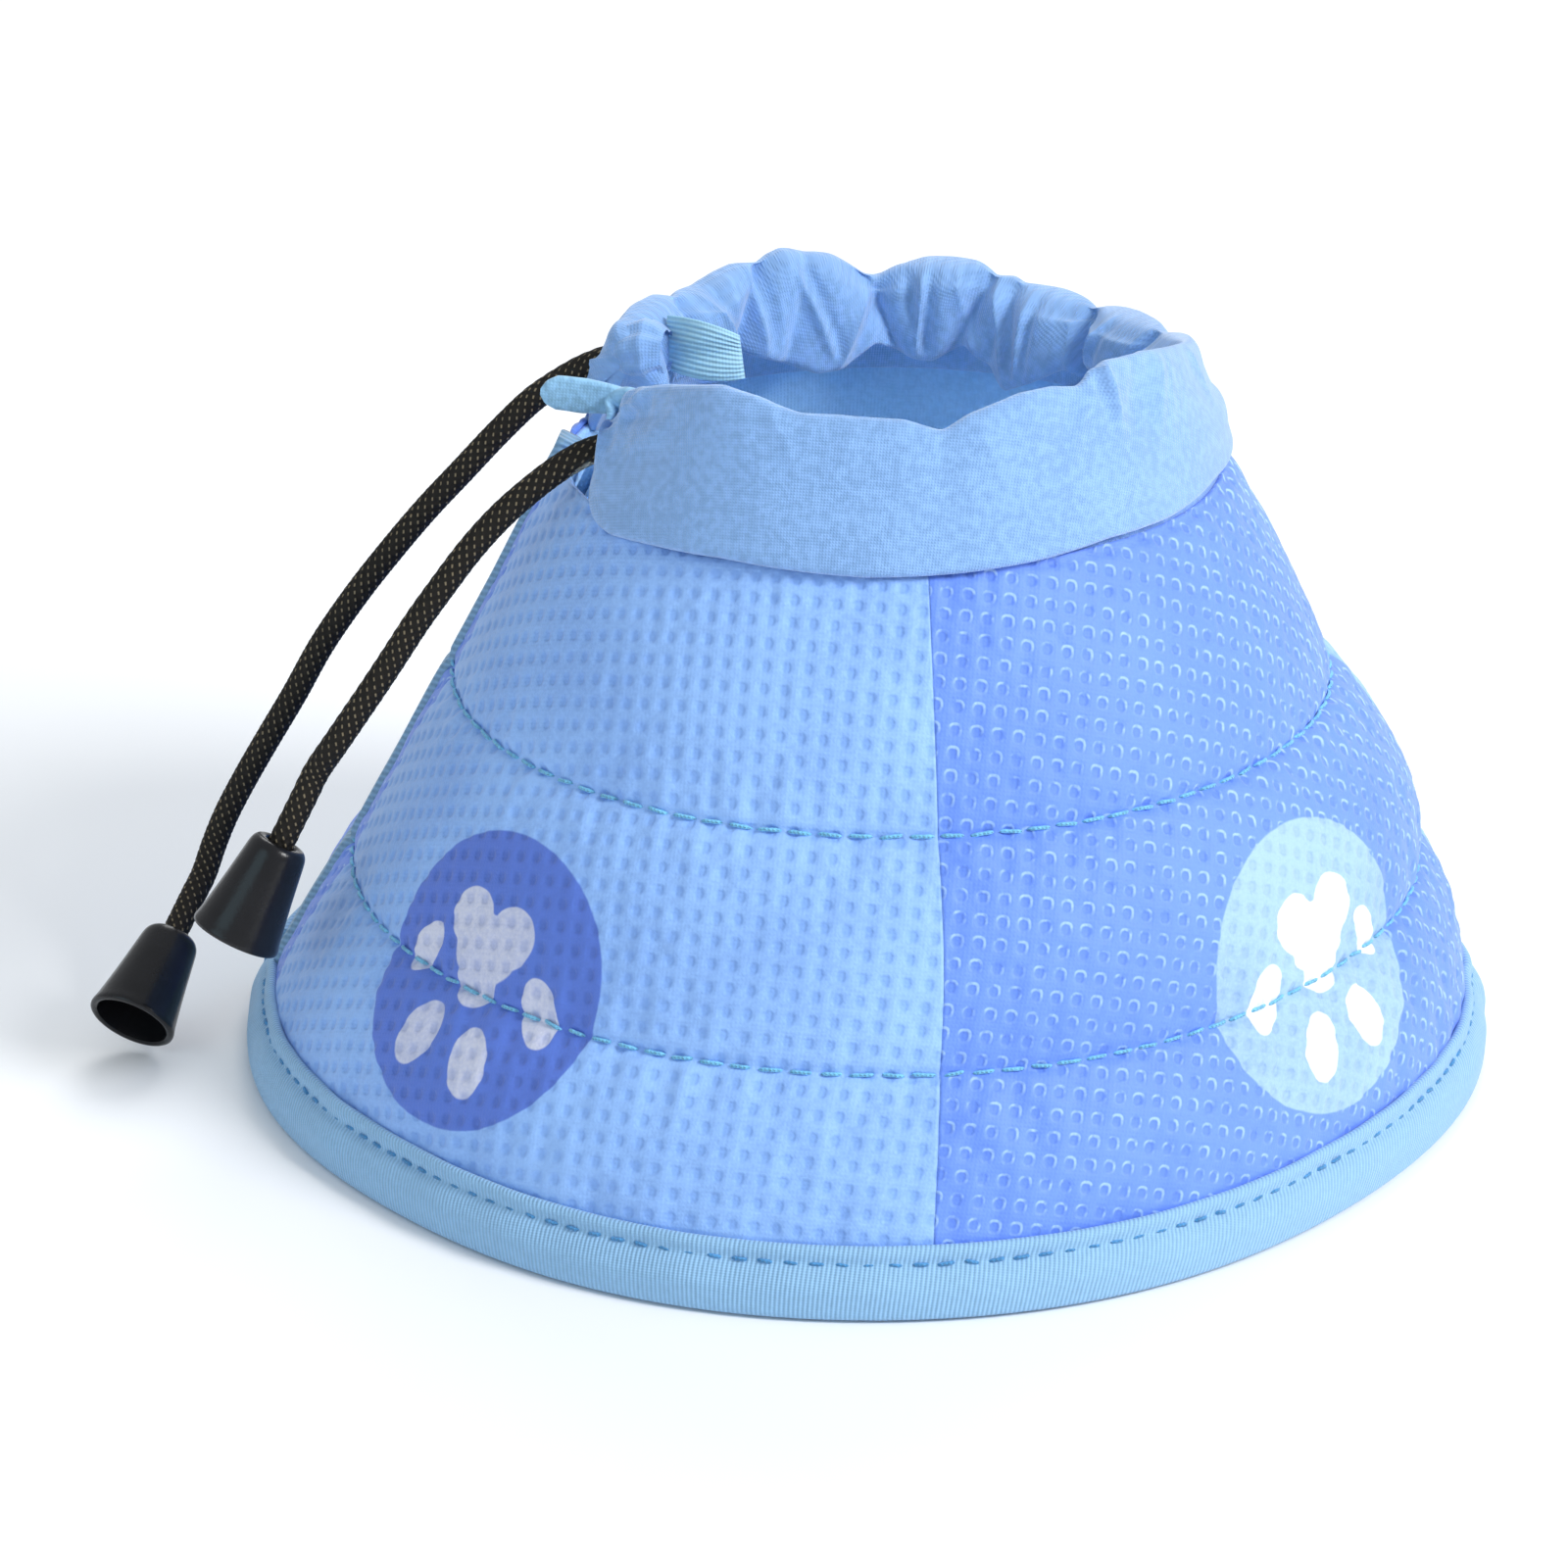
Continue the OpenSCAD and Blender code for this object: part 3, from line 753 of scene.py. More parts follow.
def bulge(phi, s):
    """Outward height of the cover at turn phi and slant s, a grid of both, in millimetres."""
    h = np.zeros((len(phi), len(s)))
    edge = smooth01(np.minimum(phi - 174.0, 532.5 - phi) / 9.0) * 0.75 + 0.25
    for c, on, t in channel_rows(s):
        part = amplitude(phi, c)[:, None] * (4 * t * (1 - t)) ** 0.72
        if UNEVEN:
            fine = cubic(UNEVEN[c], np.clip((phi - COVER_FROM) / COL, 0, len(UNEVEN[c]) - 1))
            fine = cubic(fine.T, t * (ROWS[c] - 1)).T
            part = part * (1 + 0.62 * (fine - 1))
        h[:, on] = part * edge[:, None]
    for row, k in ((LOWQ, 1.0), (UPQ, 1.0), (HEM, 0.5), (BAND, 0.4)):
        d = s - row
        a = phi * 80 * np.pi / 180
        pucker = 0.28 * np.sin(a / 1.35 + 1.7 * np.sin(a / 11))
        pucker = 0.5 + pucker + 0.22 * np.sin(a / 2.2 + 1.1 * np.sin(a / 7) + 1)
        fade = np.exp(-np.abs(d) / 3.0) * (1 - np.exp(-np.abs(d) / 0.9))
        h += k * 0.85 * (pucker[:, None] - 0.5) * fade[None, :]
        h -= (0.42 * k * np.exp(-(d / 0.8) ** 2))[None, :]
    return h


def dimples(phi, s):
    """Depth of the embossing, 0 to 1: the same lattice on the flat cloth that the print's tones follow."""
    rho = APEX - s[None, :]
    psi = np.radians(phi - FAN0)[:, None] * LEAN
    u, v = rho * np.sin(psi) / (PITCH_U * 1000), -rho * np.cos(psi) / (PITCH_V * 1000)
    du, dv = np.abs((u + 0.5) % 1 - 0.5), np.abs((v + 0.5) % 1 - 0.5)
    d = (du**SQUARENESS + dv**SQUARENESS) ** (1 / SQUARENESS)
    return smooth01((0.42 - d) / 0.30)


def emblem_uv(phi, s):
    """Place round the emblem of that panel, in emblem radii; far outside it away from the emblem."""
    k = np.clip(np.floor((phi + 1e-6 - 4.6) / 90).astype(int), 1, 5)
    k = np.where(np.isclose(phi, SPLIT) & (phi.max() <= SPLIT + 1e-6), 2, k)
    centre = np.array(EMBLEMS)[k]
    flip = np.where(k % 2 == 0, 1.0, -1.0)
    d = np.radians(phi - centre)[:, None] * LEAN
    rho = APEX - s[None, :]
    x = rho * np.sin(d) / EMBLEM_R * flip[:, None]
    y = (APEX - EMBLEM_S - rho * np.cos(d)) / EMBLEM_R
    y = np.where(np.abs(phi - centre)[:, None] > 24, 9.0, y)
    return np.stack([x, y], -1)


def lining_depth(phi):
    """Inward swell of the lining in millimetres, less beside the opening, where the underlap needs the
    room."""
    return 1.7 + 0.6 * smooth01((phi - 232) / 34)


SIDES = (("front", "flap", COVER_FROM, SPLIT, "_flap"), ("main", "cone", SPLIT, COVER_TO, ""))
# flat cut of the cover and the lining: sectors of the cone's development
for side, body, lo, hi, tail in SIDES:
    n = int(round((hi - lo) / 0.352)) + 1
    phi = np.linspace(lo, hi, n)
    s_out = np.linspace(-2.0, 94.6, 176)
    h = bulge(phi, s_out)
    out = at(s_out[None, :], h - 0.27 * dimples(phi, s_out) * smooth01((s_out - 0.5) / 1.5)[None, :])
    s_in = np.concatenate([np.linspace(a, b, 5)[:-1] for a, b in CHANNELS] + [[94.6]])[::-1]
    under = np.full((n, len(s_in)), -0.95)
    for c, on, t in channel_rows(s_in):
        under[:, on] += (amplitude(phi, c)[:, None] - 0.5) * (4 * t * (1 - t))
    inn = at(s_in[None, :], under)
    sec = np.concatenate([out, inn], 1)
    s_all = np.concatenate([s_out, s_in])
    ob = sweep("cover_" + side, phi, sec, M_COVER, extra={"emblem": emblem_uv(phi, s_all)}, sealed=True)
    put(ob, body, ["outer_cover" + tail])

    # lining, quilted inward
    n = int(round((hi - lo) / 1.2)) + 1
    phi = np.linspace(lo, hi, n)
    s_l = np.linspace(-1.0, 94.0, 84)
    a = np.radians(phi)
    deep = lining_depth(phi)[:, None] * arch(s_l)
    for c, on, t in channel_rows(s_l):
        deep[:, on] *= (1 + 0.10 * np.sin(a * (17 + 5 * c) + 2 * c) + 0.07 * np.sin(a * 41 + c))[:, None]
    sec = np.concatenate([at(s_l[None, :], -1.05 - deep), at(s_l[None, ::-1], -1.8 - deep[:, ::-1])], 1)
    ob = sweep("lining_" + side, phi, sec, M_LINING, sealed=True)
    put(ob, body, ["lining" + tail])

    # foam strips between cover and lining
    n = int(round((hi - lo) / 3.0)) + 1
    phi = np.linspace(lo + 0.6, hi, n) if side == "front" else np.linspace(lo, hi - 0.6, n)
    t = np.linspace(0.03, 0.97, 12)
    deep = (lining_depth(phi)[:, None] - 0.15) * (4 * t * (1 - t)) ** 0.8
    for c, label in enumerate(("lower", "middle", "upper")):
        a, b = CHANNELS[c]
        slant = (a + (b - a) * t)[None, :]
        lump = 1 + 0.06 * np.sin(np.radians(phi) * 23 + c)[:, None]
        o = at(slant, (amplitude(phi, c)[:, None] - 0.6) * (4 * t * (1 - t)) * lump - 1.0)
        i = at(slant[:, ::-1], -deep[:, ::-1] - 1.02)
        ob = sweep(label + "_pad_" + side, phi, np.concatenate([o, i], 1), M_FOAM)
        put(ob, body, [label + "_padding" + tail])


# ---- rim tape
# the tape's section outside and inside the wall, as (slant, distance outward)
RIM_OUT = [
    (0.45, -0.05), (0.75, 0.5), (0.7, 1.15), (0.2, 1.55), (-0.7, 1.5), (-1.45, 1.05), (-1.9, 0.85),
    (-2.35, 1.0), (-3.1, 1.4), (-4.6, 1.65), (-6.2, 1.5)
]
RIM_IN = [
    (-7.0, -2.6), (-4.5, -2.95), (-1.0, -2.8), (0.3, -2.7), (0.7, -2.3), (0.5, -1.8), (0.0, -1.0)
]
for side, body, lo, hi, tail in SIDES:
    lo = 174.4 if side == "front" else lo
    n = int(round((hi - lo) / 0.9)) + 1
    phi = np.linspace(lo, hi, n)
    a, b = np.array(RIM_OUT), np.array(RIM_IN)
    floor_side = [(95.75, 1.0), (95.3, 0.25), (94.2, 0.02), (92.6, 0.02), (91.7, 0.5)]
    ctrl = np.vstack([at(a[:, 0], a[:, 1]), floor_side, at(b[:, 0], b[:, 1])])
    loop, _ = spline(np.vstack([ctrl, ctrl[:1]]), count=61)
    loop = loop[:-1]
    sec = np.broadcast_to(loop[None], (n,) + loop.shape).copy()
    ang = np.radians(phi)
    wob = 0.16 * np.sin(ang * 19 + np.sin(ang * 7)) + 0.10 * np.sin(ang * 43)
    lift = smooth01((sec[..., 1] - 1.5) / 4)
    sec[..., 0] += wob[:, None] * lift
    sec[..., 1] = np.maximum(sec[..., 1] + 0.4 * wob[:, None] * lift, 0.0)
    ob = sweep("rim_tape_" + side, phi, sec, M_TAPE)
    put(ob, body, ["rim_binding" + tail])


def stitches(name, lo, hi, pitch, long, s, d, mat, sink=0.75, seed=5, radius=0.28):
    """Row of thread stitches round the wall: each a short round-ended strand pulled into the cloth at both
    ends."""
    rng = np.random.default_rng(seed)
    r0 = HEM_R - LEAN * s
    n = int((hi - lo) / np.degrees(pitch / r0))
    k, m = 9, 8
    t = np.linspace(-1, 1, k)
    ang = np.arange(m) * 2 * np.pi / m
    thick = (radius * np.sqrt(np.clip(1 - np.abs(t) ** 5, 0.02, 1)))[:, None]
    thick = thick * (1 + 0.10 * np.cos(ang * 2 + t[:, None] * 7))
    depth = (d - sink * np.abs(t) ** 3.5)[:, None]
    verts, faces, uvs = [], [], []
    for i, c in enumerate(lo + (np.arange(n) + 0.5) * (hi - lo) / n):
        tilt = rng.normal(0, 0.12)
        half = long * (1 + rng.normal(0, 0.05)) / 2
        ph = np.radians(c + np.degrees(t * half / r0))
        p = at((s + tilt * t)[:, None] + thick * np.sin(ang), depth + thick * np.cos(ang))
        verts.append(turn_points(np.degrees(ph), p).reshape(-1, 3))
        first, last = i * k * m, (i + 1) * k * m - m
        faces += [*(quads(k, m, True) + first), np.arange(m) + first, np.arange(m)[::-1] + last]
        along, round_it = np.broadcast_arrays(ph[:, None] * r0, ang * radius)
        uvs.append(np.stack([along, round_it], -1).reshape(-1, 2) * 0.001)
    return make(name, settle(np.vstack(verts)), faces, mat, {"flat": np.vstack(uvs)})


for side, body, lo, hi, tail in SIDES:
    lo = 177.5 if side == "front" else lo
    ob = stitches("lower_quilt_stitches_" + side, lo, hi, 4.15, 3.75, LOWQ, 0.10, M_THREAD, seed=3)
    put(ob, body, ["lower_quilt_thread" + tail])
    ob = stitches("upper_quilt_stitches_" + side, lo, hi, 4.15, 3.75, UPQ, 0.10, M_THREAD, seed=4)
    put(ob, body, ["upper_quilt_thread" + tail])
    ob = stitches("rim_stitches_" + side, lo, hi, 3.5, 2.5, -1.9, 0.92, M_RIMTHREAD, sink=0.5, seed=6)
    put(ob, body, ["rim_thread" + tail])

# ---- gathered neck sleeve
# (turn, height) along the sleeve's top, the lower end of its inner face, and its foot on the wall
TOP_Z = [
    (150, 109.2), (164, 109.4), (176, 108.6), (200, 108.6), (207, 109.4), (211, 110.9), (219, 112.8),
    (235, 115.5), (243, 114.8), (251, 113.1), (258, 113.2), (271, 112.9), (278, 111.2), (283, 113.5),
    (293, 115.6), (300, 115.8), (306, 115), (312, 118.0), (324, 117.3), (341, 114.5), (358, 111.5),
    (372, 109.4), (384, 108.6), (403, 107.9), (416, 108.4), (423, 109.5), (431, 110.8), (442, 110.7),
    (447, 110.1), (452, 108.3), (456, 109.7), (462, 111.8), (473, 113.4), (484, 111.8), (494, 109.6),
    (506, 110.5), (524, 109.4), (530, 108.8)
]
LOW_Z = [
    (150, 97), (200, 97), (215, 97), (235, 96.4), (260, 95.6), (285, 96), (310, 96.5), (340, 97.5),
    (362, 97), (375, 97.6), (394, 97), (403, 98.4), (412, 95.1), (420, 92.8), (424, 95.6), (432, 98.5),
    (440, 95.2), (446, 96), (453, 98.7), (461, 95.3), (468, 94.7), (477, 96.9), (488, 99.7), (500, 99.3),
    (510, 98), (530, 98)
]
BAND_Z = [
    (200, 101.0), (205.5, 100.8), (206.8, 98.5), (208.2, 95.6), (210, 93.8), (213, 92.4), (217, 91.8),
    (227, 92.5), (241, 93.1), (265, 92.6), (280, 93), (293, 93.6), (306, 94.6), (321, 94.6), (338, 95.6),
    (352, 95.2), (378, 94.0), (420, 92.8), (470, 92.8), (510, 93.4), (520, 95.2), (526, 98), (530, 101)
]
# gathers round the sleeve: turn, depth and lean
CREASES = [
    (378, 0.8, 7), (400, 1.0, -6), (422, 0.45, 5), (430, 0.9, 8), (444, 0.5, -5), (452, 1.15, -7),
    (472, 0.45, 6), (485, 1.0, 9), (506, 0.7, 8), (517, 0.5, -4), (357, 0.5, 5), (342, 0.35, 0),
    (322.5, 0.9, 3), (301, 0.2, 0), (278, 0.25, -5), (250, 0.2, 4), (225, 0.25, 8), (213, 0.5, 7),
    (209, 0.5, 7)
]


def curve_of(pairs, phi):
    """Smooth curve through (turn, value) pairs."""
    a = np.array(pairs)
    grid = np.arange(140, 540, 0.5)
    k = np.hanning(9)
    y = np.interp(np.arange(138, 542.1, 0.5), a[:, 0], a[:, 1])
    return np.interp(phi, grid, np.convolve(y, k / k.sum(), "valid")[:len(grid)])


def fold_line(phi, z, start, end, high, wide, valley=0.6):
    """A crisp fold along a line from (turn, height) to (turn, height) on the sleeve, with a soft valley
    beside it."""
    mm = 0.74
    d = np.array([(end[0] - start[0]) * mm, end[1] - start[1]])
    long = np.hypot(*d)
    d = d / long
    x, y = (phi - start[0]) * mm, z - start[1]
    t = (x * d[0] + y * d[1]) / long
    off = x * d[1] - y * d[0]
    fade = smooth01((t + 0.15) / 0.3) * (1 - smooth01((t - 0.8) / 0.4))
    dip = valley * np.exp(-((off - 2.4 * wide) / (1.6 * wide)) ** 2)
    return high * fade * (np.exp(-np.abs(off) / wide) - dip)


# crisp folds: start and end as (turn, height), then height and width
INNER_FOLDS = [
    ((450.5, 111), (462, 96.5), 1.5, 0.8), ((442, 110), (443, 98), 1.3, 0.7),
    ((471.5, 110), (464.5, 98), 1.3, 0.8), ((482, 112), (482, 100), 1.3, 0.8),
    ((425.8, 110), (420, 96), 1.5, 0.9), ((416, 109), (416, 96.5), 1.1, 0.7),
    ((391, 108.5), (397, 98), 1.3, 0.8), ((404, 108), (400, 97), 1.2, 0.9),
    ((497, 110), (490, 101), 1.2, 0.8), ((506, 110), (509, 101), 1.0, 0.8),
    ((434, 110), (430, 99), 0.7, 0.7), ((378, 108.5), (382, 99), 1.1, 0.8)
]
OUTER_FOLDS = [
    ((205.5, 102.5), (217, 111.8), 1.1, 0.8), ((206, 101), (212, 94.5), 1.0, 0.8),
    ((208, 105.5), (224, 109.5), -0.9, 1.1), ((212, 99), (226, 111), 0.6, 0.9),
    ((210, 107.5), (216, 112), 0.9, 0.6), ((311, 118.5), (312.5, 110), 1.3, 0.6),
    ((306, 113), (300, 105), 0.5, 0.9), ((327, 116), (322, 106), 0.5, 1.2),
    ((246, 114), (252, 106), 0.35, 1.0), ((262, 112), (258, 103), 0.3, 1.1),
    ((284, 112), (289, 104), 0.4, 1.0), ((345, 113), (350, 103), 0.6, 1.0),
    ((268, 96), (275, 108), 0.2, 1.4), ((398, 107), (401, 97), 1.0, 1.0), ((423, 109), (420, 98), 1.0, 1.0),
    ((452, 108), (455, 98), 1.2, 1.0), ((484, 111), (480, 99), 1.0, 1.0), ((506, 110), (503, 100), 1.0, 0.9)
]


def cuff_section(phi):
    """Closed outline of the cuff for each turn angle: outer fall, rolled top, gathered inner face, hidden
    back."""
    n = len(phi)
    zt, zl, zb = curve_of(TOP_Z, phi), curve_of(LOW_Z, phi), curve_of(BAND_Z, phi)
    foot = HEM_R - (zb - HEM_Z) * 0.502
    back = smooth01((np.cos(np.radians(phi - 90)) + 0.25) / 0.7)
    foot_lo = foot * 0.5 + 24.7
    outline = [
        (foot + 0.35, zb + 0.9), (foot + 0.75, zb - 0.05), (foot + 1.35, zb), (foot + 1.75, zb + 0.9),
        (foot + 1.1, zb + 3.2), (foot_lo, zb + 6.4), (47.3, zb * 0.5 + zt * 0.5 + 0.3), (45.6, zt - 4.6),
        (44.6, zt - 1.9), (43.6, zt - 0.35), (42.7, zt), (41.8, zt - 0.5), (40.9, zt - 2.2),
        (39.9, zt * 0.72 + zl * 0.28), (39.0, zt * 0.45 + zl * 0.55), (38.5, zl + 2.2), (38.8, zl + 0.5),
        (39.9, zl - 0.1), (41.3, zl + 1.0), (44.0, 96.2), (46.4, 92.6), (47.6, 91.2), (48.6, 92.4),
        (foot - 0.6, np.minimum(zb + 2.2, 98.5))]
    c = np.array([[np.broadcast_to(r, n), np.broadcast_to(z, n)] for r, z in outline]).transpose(2, 0, 1)
    c = np.concatenate([c[:, -1:], c, c[:, :2]], 1)
    t = np.linspace(0, 1, 6, endpoint=False)[None, :, None]
    parts = [catmull(*(c[:, i + k][:, None] for k in (-1, 0, 1, 2)), t) for i in range(1, c.shape[1] - 2)]
    sec = np.concatenate(parts, 1)
    u = np.arange(sec.shape[1]) / 6.0
    # how much each part of the outline takes the gathers: nothing at the foot, all on the inner face
    inner = smooth01((u - 9.5) / 3.0) * (1 - smooth01((u - 16.6) / 1.6))
    outer = smooth01((u - 4.5) / 4.0) * (1 - smooth01((u - 10.0) / 1.5))
    top = np.exp(-((u - 10) / 1.6) ** 2)
    z = sec[..., 1]
    puff = np.ones_like(z)
    for centre, depth, skew in CREASES:
        at_z = centre + skew * (104 - z) / 12
        gap = np.abs(phi[:, None] - at_z)
        puff = puff * (1 - min(depth, 1.0) * np.exp(-gap / 4.2) * (1 - 0.12 * np.exp(-gap / 0.7)))
    swell = (4.6 * back + 1.1)[:, None]
    sec[..., 0] -= swell * puff * inner[None] - 1.0 * inner[None]
    sec[..., 0] += (0.5 + 2.0 * back[:, None]) * (puff - 0.75) * outer[None]
    sec[..., 1] += (1.1 * back[:, None] + 0.25) * (puff - 0.8) * top[None]
    # fine folds that fan from each gather and die away down the cloth
    a = np.radians(phi)[:, None]
    skewed = a + 0.012 * (z - 104) * np.sin(3 * a)
    fold = np.sin(61 * skewed + 2.1 * np.sin(9 * a)) * 0.5
    fold = fold + np.sin(97 * skewed + 1.7 * np.sin(13 * a) + 1) * 0.3
    near_cord = smooth01((z - 96) / 8) * (1 - smooth01((z - zt[:, None] + 0.8) / 1.6) * 0.6)
    strength = (0.03 + 0.07 * back + 0.30 * np.exp(-(turn_gap(phi, 208) / 9) ** 2)
                + 0.22 * np.exp(-(turn_gap(phi, 320) / 12) ** 2))
    sec[..., 0] += fold * strength[:, None] * near_cord * (inner + outer)[None]
    # the pinched pleat on the right front, a soft dent beside a sharp fold
    dent = np.exp(-((phi[:, None] - 317 - 0.25 * (z - 110)) / 3.8) ** 2) * np.exp(-((z - 111.0) / 3.8) ** 2)
    sec[..., 0] -= 2.1 * dent * outer[None]
    grid = np.broadcast_to(phi[:, None], z.shape)
    for start, end, high, wide in INNER_FOLDS:
        sec[..., 0] -= fold_line(grid, z, start, end, high, wide) * inner[None]
    for start, end, high, wide in OUTER_FOLDS:
        sec[..., 0] += fold_line(grid, z, start, end, high, wide) * outer[None]
    # long soft undulation of the outer fall
    sec[..., 0] += 0.30 * np.sin(9 * a + 0.8 + 0.05 * (z - 100)) * outer[None]
    # facets pulled toward the cord's exit at the open end
    g = phi[:, None] - 205
    pull = np.exp(-np.clip(g, 0, None) / 7.0)
    sec[..., 0] += 0.8 * pull * np.sin(g * 1.15 + (z - 103) * 0.42) * outer[None] * smooth01((z - 94) / 5)
    return sec


def cuff_piece(name, phi, body, nodes, end, exit_at, span):
    """Cuff over a run of turn. Its free end, 0 for the first section or 1 for the last, rounds in toward
    the drawstring at exit_at over span degrees; the cord's mouth there is a piece of its own."""
    sec = cuff_section(phi)
    ang = np.radians(-62) + np.linspace(0, 2 * np.pi, sec.shape[1], endpoint=False)
    tube = np.array(exit_at) + 0.8 * np.stack([np.cos(ang), np.sin(ang)], -1)
    g = phi - phi[0] if end == 0 else phi[-1] - phi
    w = (1 - np.sqrt(np.clip(1 - (1 - np.clip(g / span, 0, 1)) ** 2, 0, 1)))[:, None, None]
    put(sweep(name, phi, sec * (1 - w) + tube * w, M_CUFF), body, nodes)


CUFF_FROM, CUFF_TO = 204.6, 525.2
near_end = np.array([0, 0.03, 0.1, 0.22, 0.4, 0.65])  # closer sections where an end rounds in
even = CUFF_FROM + (SPLIT - CUFF_FROM) * np.linspace(0, 1, 150)
front_turn = np.concatenate([CUFF_FROM + near_end, even[2:]])
rear_turn = np.concatenate([np.linspace(SPLIT, CUFF_TO - 0.8, 505), CUFF_TO - near_end[4::-1]])
front_exit, rear_exit = (math.hypot(-38, -17.5), 102.3), (math.hypot(-38, 14.0), 104.3)
cuff_piece("neck_cuff_front", front_turn, "flap", ["neck_sleeve_flap"], 0, front_exit, 4.2)
cuff_piece("neck_cuff_main", rear_turn, "cone", ["neck_sleeve"], 1, rear_exit, 6.0)


def mouth(name, line, outer, body, tilt):
    """Gathered cloth mouth that the cord leaves by: pleated outside, a rolled lip, and a dark bore."""
    pts, _ = spline(line, count=26)
    t, a, b = frames(pts)
    n = 48
    ang = np.arange(n) * 2 * np.pi / n
    run = np.linspace(0, 1, len(pts))
    pleats = 1 + 0.055 * np.sin(7 * ang + 2 * run[:, None] + tilt) + 0.03 * np.sin(12 * ang + tilt)
    r_out = np.interp(run, *zip(*outer))[:, None] * pleats
    end = r_out[-1]
    lip = [(end * 0.95 - 0.1, 0.35), (end * 0.85 - 0.1, 0.5), (2.4, 0.25), (2.15, -0.6), (2.1, -4.0)]
    rings = [circles(pts, a, b, ang, r_out)]
    for r, ahead in lip:
        rings.append(circles(pts[-1:] + t[-1] * ahead, a[-1:], b[-1:], ang, np.broadcast_to(r, n)))
    g = np.concatenate(rings)
    uv = np.stack(np.meshgrid(ang * 0.0035, np.arange(len(g)) * 0.0003), -1).reshape(-1, 2)
    ob = make(name, g.reshape(-1, 3), quads(len(g), n, True)[:, ::-1], M_CUFF, {"flat": uv})
    return put(ob, body, [])


mouth("front_cord_mouth",
      [(-34.5, -16.6, 103.2), (-36.5, -17.1, 102.7), (-38.6, -17.6, 101.9), (-40.2, -17.8, 101.3)],
      [(0, 2.6), (0.4, 3.8), (0.8, 3.3), (1, 2.8)], "closure_flap", 0.5)
mouth("rear_cord_mouth",
      [(-33.5, 12.6, 105.0), (-36, 13.4, 104.9), (-38.6, 14.1, 104.4), (-41.2, 15.0, 103.6)],
      [(0, 3.2), (0.35, 4.9), (0.7, 4.3), (0.9, 3.3), (1, 2.8)], "cone", 1.4)

# ---- closure: edge tape, tab, underlap
phi = np.concatenate([[174.3, 174.45, 174.75], np.linspace(175.2, 179.6, 12)])
s_e = np.linspace(0.4, 96.4, 90)
lift = 0.10 + 0.85 * np.sqrt(1 - (1 - np.clip((phi - 174.3) / 0.9, 0, 1)) ** 2)
thin_end = smooth01((179.6 - phi) / 0.5)
h = bulge(np.clip(phi, 175.8, None), s_e) * 0.9
out = at(s_e[None], h * lift[:, None] + (lift * thin_end)[:, None] + 0.05)
inn = at(s_e[None, ::-1], (-1.8 - 1.7 * arch(s_e) - 0.8 * lift[:, None])[:, ::-1])
sec = np.concatenate([out, inn], 1)
edge = sweep("flap_edge_tape", phi, sec, M_EDGE_TAPE_SHADED)
put(edge, "closure_flap", ["flap_edge_binding"])


def tongue(name, line, wide, thick, across=20):
    """Flat tape with rounded edges swept along a line; width and thickness change along it."""
    pts, length = spline(line, count=48)
    t = unit(np.gradient(pts, axis=0))
    w = unit(np.cross(t, (0.0, -0.25, 1.0)))
    nrm = np.cross(w, t)
    run = np.linspace(0, 1, len(pts))
    half = np.interp(run, *zip(*wide))[:, None]
    th = np.interp(run, *zip(*thick))[:, None]
    ang = np.arange(across) * 2 * np.pi / across
    cx = np.sign(np.cos(ang)) * np.abs(np.cos(ang)) ** 0.6
    cy = np.sign(np.sin(ang)) * np.abs(np.sin(ang)) ** 0.6
    ruck = 0.06 * np.sin(run * 17)[:, None]
    p = pts[:, None] + (half * cx)[..., None] * nrm[:, None] + (th * cy + ruck)[..., None] * w[:, None]
    n = len(pts) * across
    verts = np.vstack([p.reshape(-1, 3), p[0].mean(0), p[-1].mean(0)])
    uv = np.stack(np.broadcast_arrays(half * cx, (run * length)[:, None]), -1).reshape(-1, 2) * 0.001
    uv = np.vstack([uv, uv[0], uv[-1]])
    faces = list(quads(len(pts), across, True))
    for k in range(across):
        faces.append((n, (k + 1) % across, k))
        faces.append((n + 1, n - across + k, n - across + (k + 1) % across))
    ob = make(name, verts, faces, M_TAB, {"flat": uv})
    put(ob, "closure_flap", [])


tongue("edge_tape_tab",
       [(-35.5, -15.0, 105.6), (-39, -13.6, 105.9), (-43, -13, 106.3), (-47, -12.9, 106.8),
        (-51.2, -13, 107.2)],
       [(0, 2.2), (0.12, 1.7), (0.3, 2.3), (0.6, 2.9), (0.85, 2.8), (0.95, 1.9), (1, 0.5)],
       [(0, 1.3), (0.15, 1.0), (0.4, 0.75), (0.9, 0.7), (1, 0.25)])
tongue("edge_tape_root",
       [(-34.2, -17.6, 103.6), (-35.8, -16.6, 105.4), (-38.2, -15.0, 106.6), (-40.4, -13.9, 105.6),
        (-41.0, -14.6, 103.4)],
       [(0, 1.6), (0.5, 2.0), (1, 1.5)], [(0, 0.8), (0.5, 0.9), (1, 0.5)])


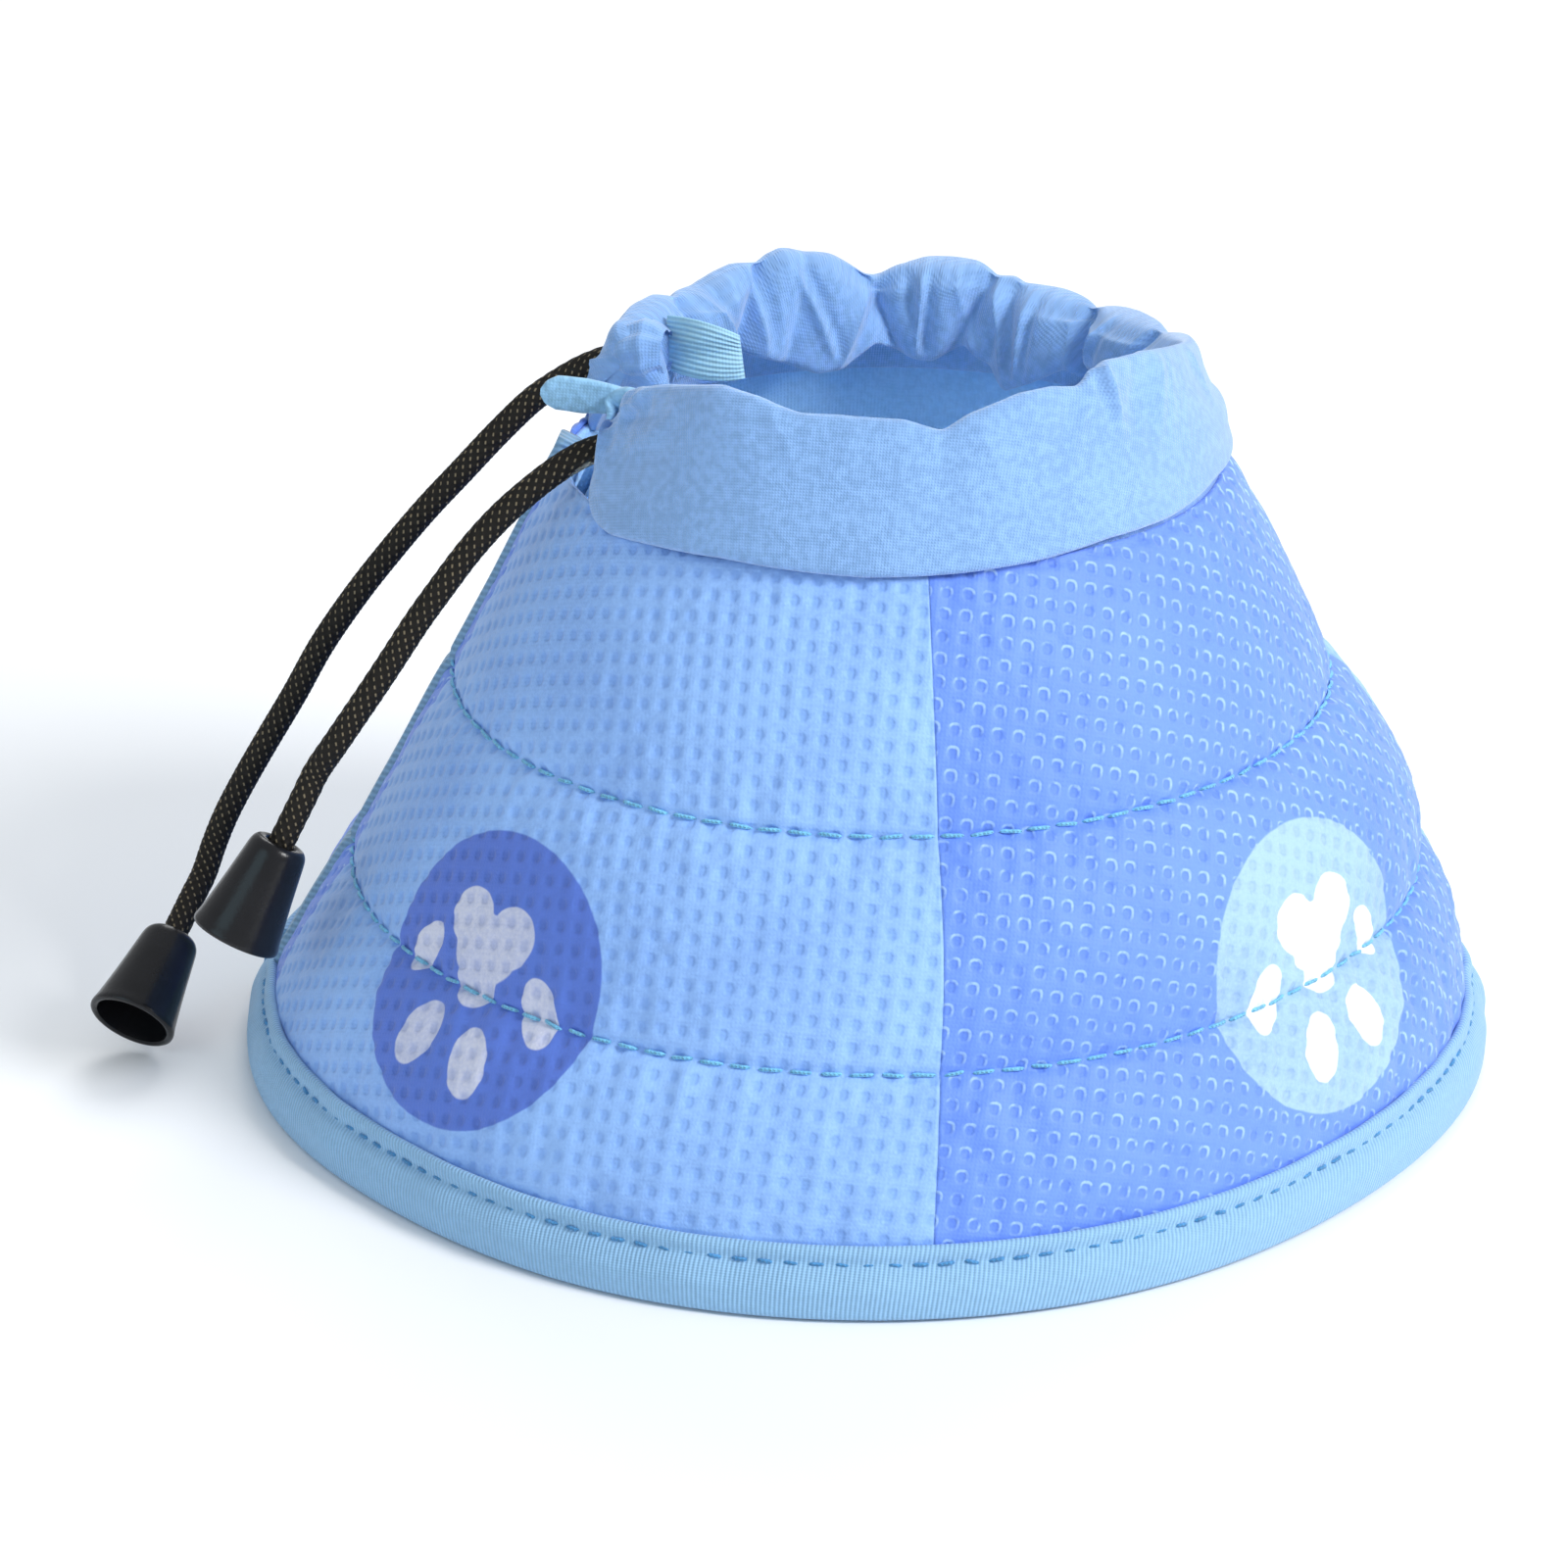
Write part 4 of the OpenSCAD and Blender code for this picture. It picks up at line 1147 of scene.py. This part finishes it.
def panel(name, lo, hi, s0, s1, d_out, d_in, mat, body, nodes, wave_h=0.0, step=0.6, quilt=0.0):
    """Sewn panel lying inside the wall, with slight quilting swell and rounded borders."""
    phi = np.linspace(lo, hi, max(8, int((hi - lo) / step)))
    s = np.linspace(s0, s1, 70)
    ea = np.minimum(phi - lo, hi - phi) * 1.1
    eb = np.minimum(s - s0, s1 - s)
    rim = np.sqrt(np.clip(np.minimum(ea[:, None], eb[None]) / 0.8, 0.05, 1))
    mid, half = (d_out + d_in) / 2, (d_out - d_in) / 2
    swell = wave_h * np.sin(phi * 1.3)[:, None] * np.sin(s * 0.19)[None] * rim
    mid = mid - quilt * arch(s)[None]
    o = at(s[None], mid + half * rim + swell * 0.3)
    i = at(s[None, ::-1], (mid - half * rim + swell)[:, ::-1])
    ob = sweep(name, phi, np.concatenate([o, i], 1), mat)
    return put(ob, body, nodes)


panel("underlap", 164.0, 197.2, 1.2, 94.6, -6.2, -8.0, M_LINING, "cone",
      ["underlap_panel"], wave_h=0.35)
panel("underlap_strip", 164.0, 169.0, 1.2, 94.6, -4.3, -6.25, M_LINING, "cone", [])
panel("underlap_edge_tape", 196.6, 199.0, 1.0, 94.8, -5.7, -8.5, M_EDGE_TAPE_SHADED, "cone",
      ["underlap_binding"], step=0.2)
panel("loop_strip", 180.0, 193.0, 5.7, 88.3, -5.35, -6.2, M_LOOP, "cone", ["loop_tape"])
panel("hook_strip", 180.0, 193.0, 5.7, 88.3, -1.75, -2.90, M_HOOK, "closure_flap",
      ["hook_tape"], quilt=2.0)

# ribbed end of the tape sewn inside the rear of the neck: its upper and lower edges, as Bezier curves
TAPE_TOP = np.array([(-33.5, 17.0, 109.2), (-30.0, 12.5, 110.4), (-26.0, 10.5, 109.8), (-22.6, 12.0, 107.6)])
TAPE_LOW = np.array([(-34.5, 16.0, 101.4), (-30.6, 11.8, 101.0), (-26.2, 10.0, 100.4), (-21.8, 11.6, 101.0)])
N = 44
u = np.linspace(0, 1, N)[:, None, None]
v = np.linspace(0, 1, N)[None, :, None]


def bezier(p, t):
    """Cubic Bezier curve of four points."""
    return (1 - t) ** 3 * p[0] + 3 * t * (1 - t) ** 2 * p[1] + 3 * t**2 * (1 - t) * p[2] + t**3 * p[3]


near = bezier(TAPE_TOP, u) * (1 - v) + bezier(TAPE_LOW, u) * v
near[..., 1] += (0.22 * np.sin(u * 5 + v * 9) * np.sin(v * 3.1))[..., 0]
rim = np.sqrt(np.clip(np.minimum(np.minimum(u, 1 - u), np.minimum(v, 1 - v)) / 0.06, 0, 1)[..., 0])
far = near.copy()
far[..., 1] += 0.35 + 0.8 * rim
near[..., 1] += 0.35 - 0.35 * rim
k = np.arange(N)
edge = np.concatenate([k, k[1:] * N + N - 1, (N - 1) * N + k[-2::-1], k[-2:0:-1] * N])
after = np.roll(edge, -1)
sides = quads(N, N, False)
faces = [*sides[:, ::-1], *(sides + N * N), *np.stack([edge, after, after + N * N, edge + N * N], 1)]
uv = np.stack(np.broadcast_arrays(u[..., 0] * 0.011, v[..., 0] * 0.009), -1).reshape(-1, 2)
verts = np.concatenate([near, far]).reshape(-1, 3)
ob = make("neck_tape_end", verts, faces, M_END, {"flat": np.concatenate([uv, uv])})
put(ob, "cone", ["neck_end_tape"])

# the hidden drawstring keeps its CAD mesh and gets the braid
CORD_RING, CORD_Z = 0.0424, 0.1025  # metres: the radius and height at which it runs round the neck
for node in ("drawstring", "drawstring_flap"):
    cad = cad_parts[node]
    cad.data.materials.clear()
    co = np.array([v.co for v in cad.data.vertices], float)
    round_z = np.arctan2(co[:, 2] - CORD_Z, np.hypot(co[:, 0], co[:, 1]) - CORD_RING)
    uv = np.stack([round_z / (2 * np.pi) * BRAID_LAP, np.arctan2(co[:, 1], co[:, 0]) * CORD_RING], -1)
    set_uv(cad.data, "flat", uv)
    cad.data.materials.append(M_BRAID.m)
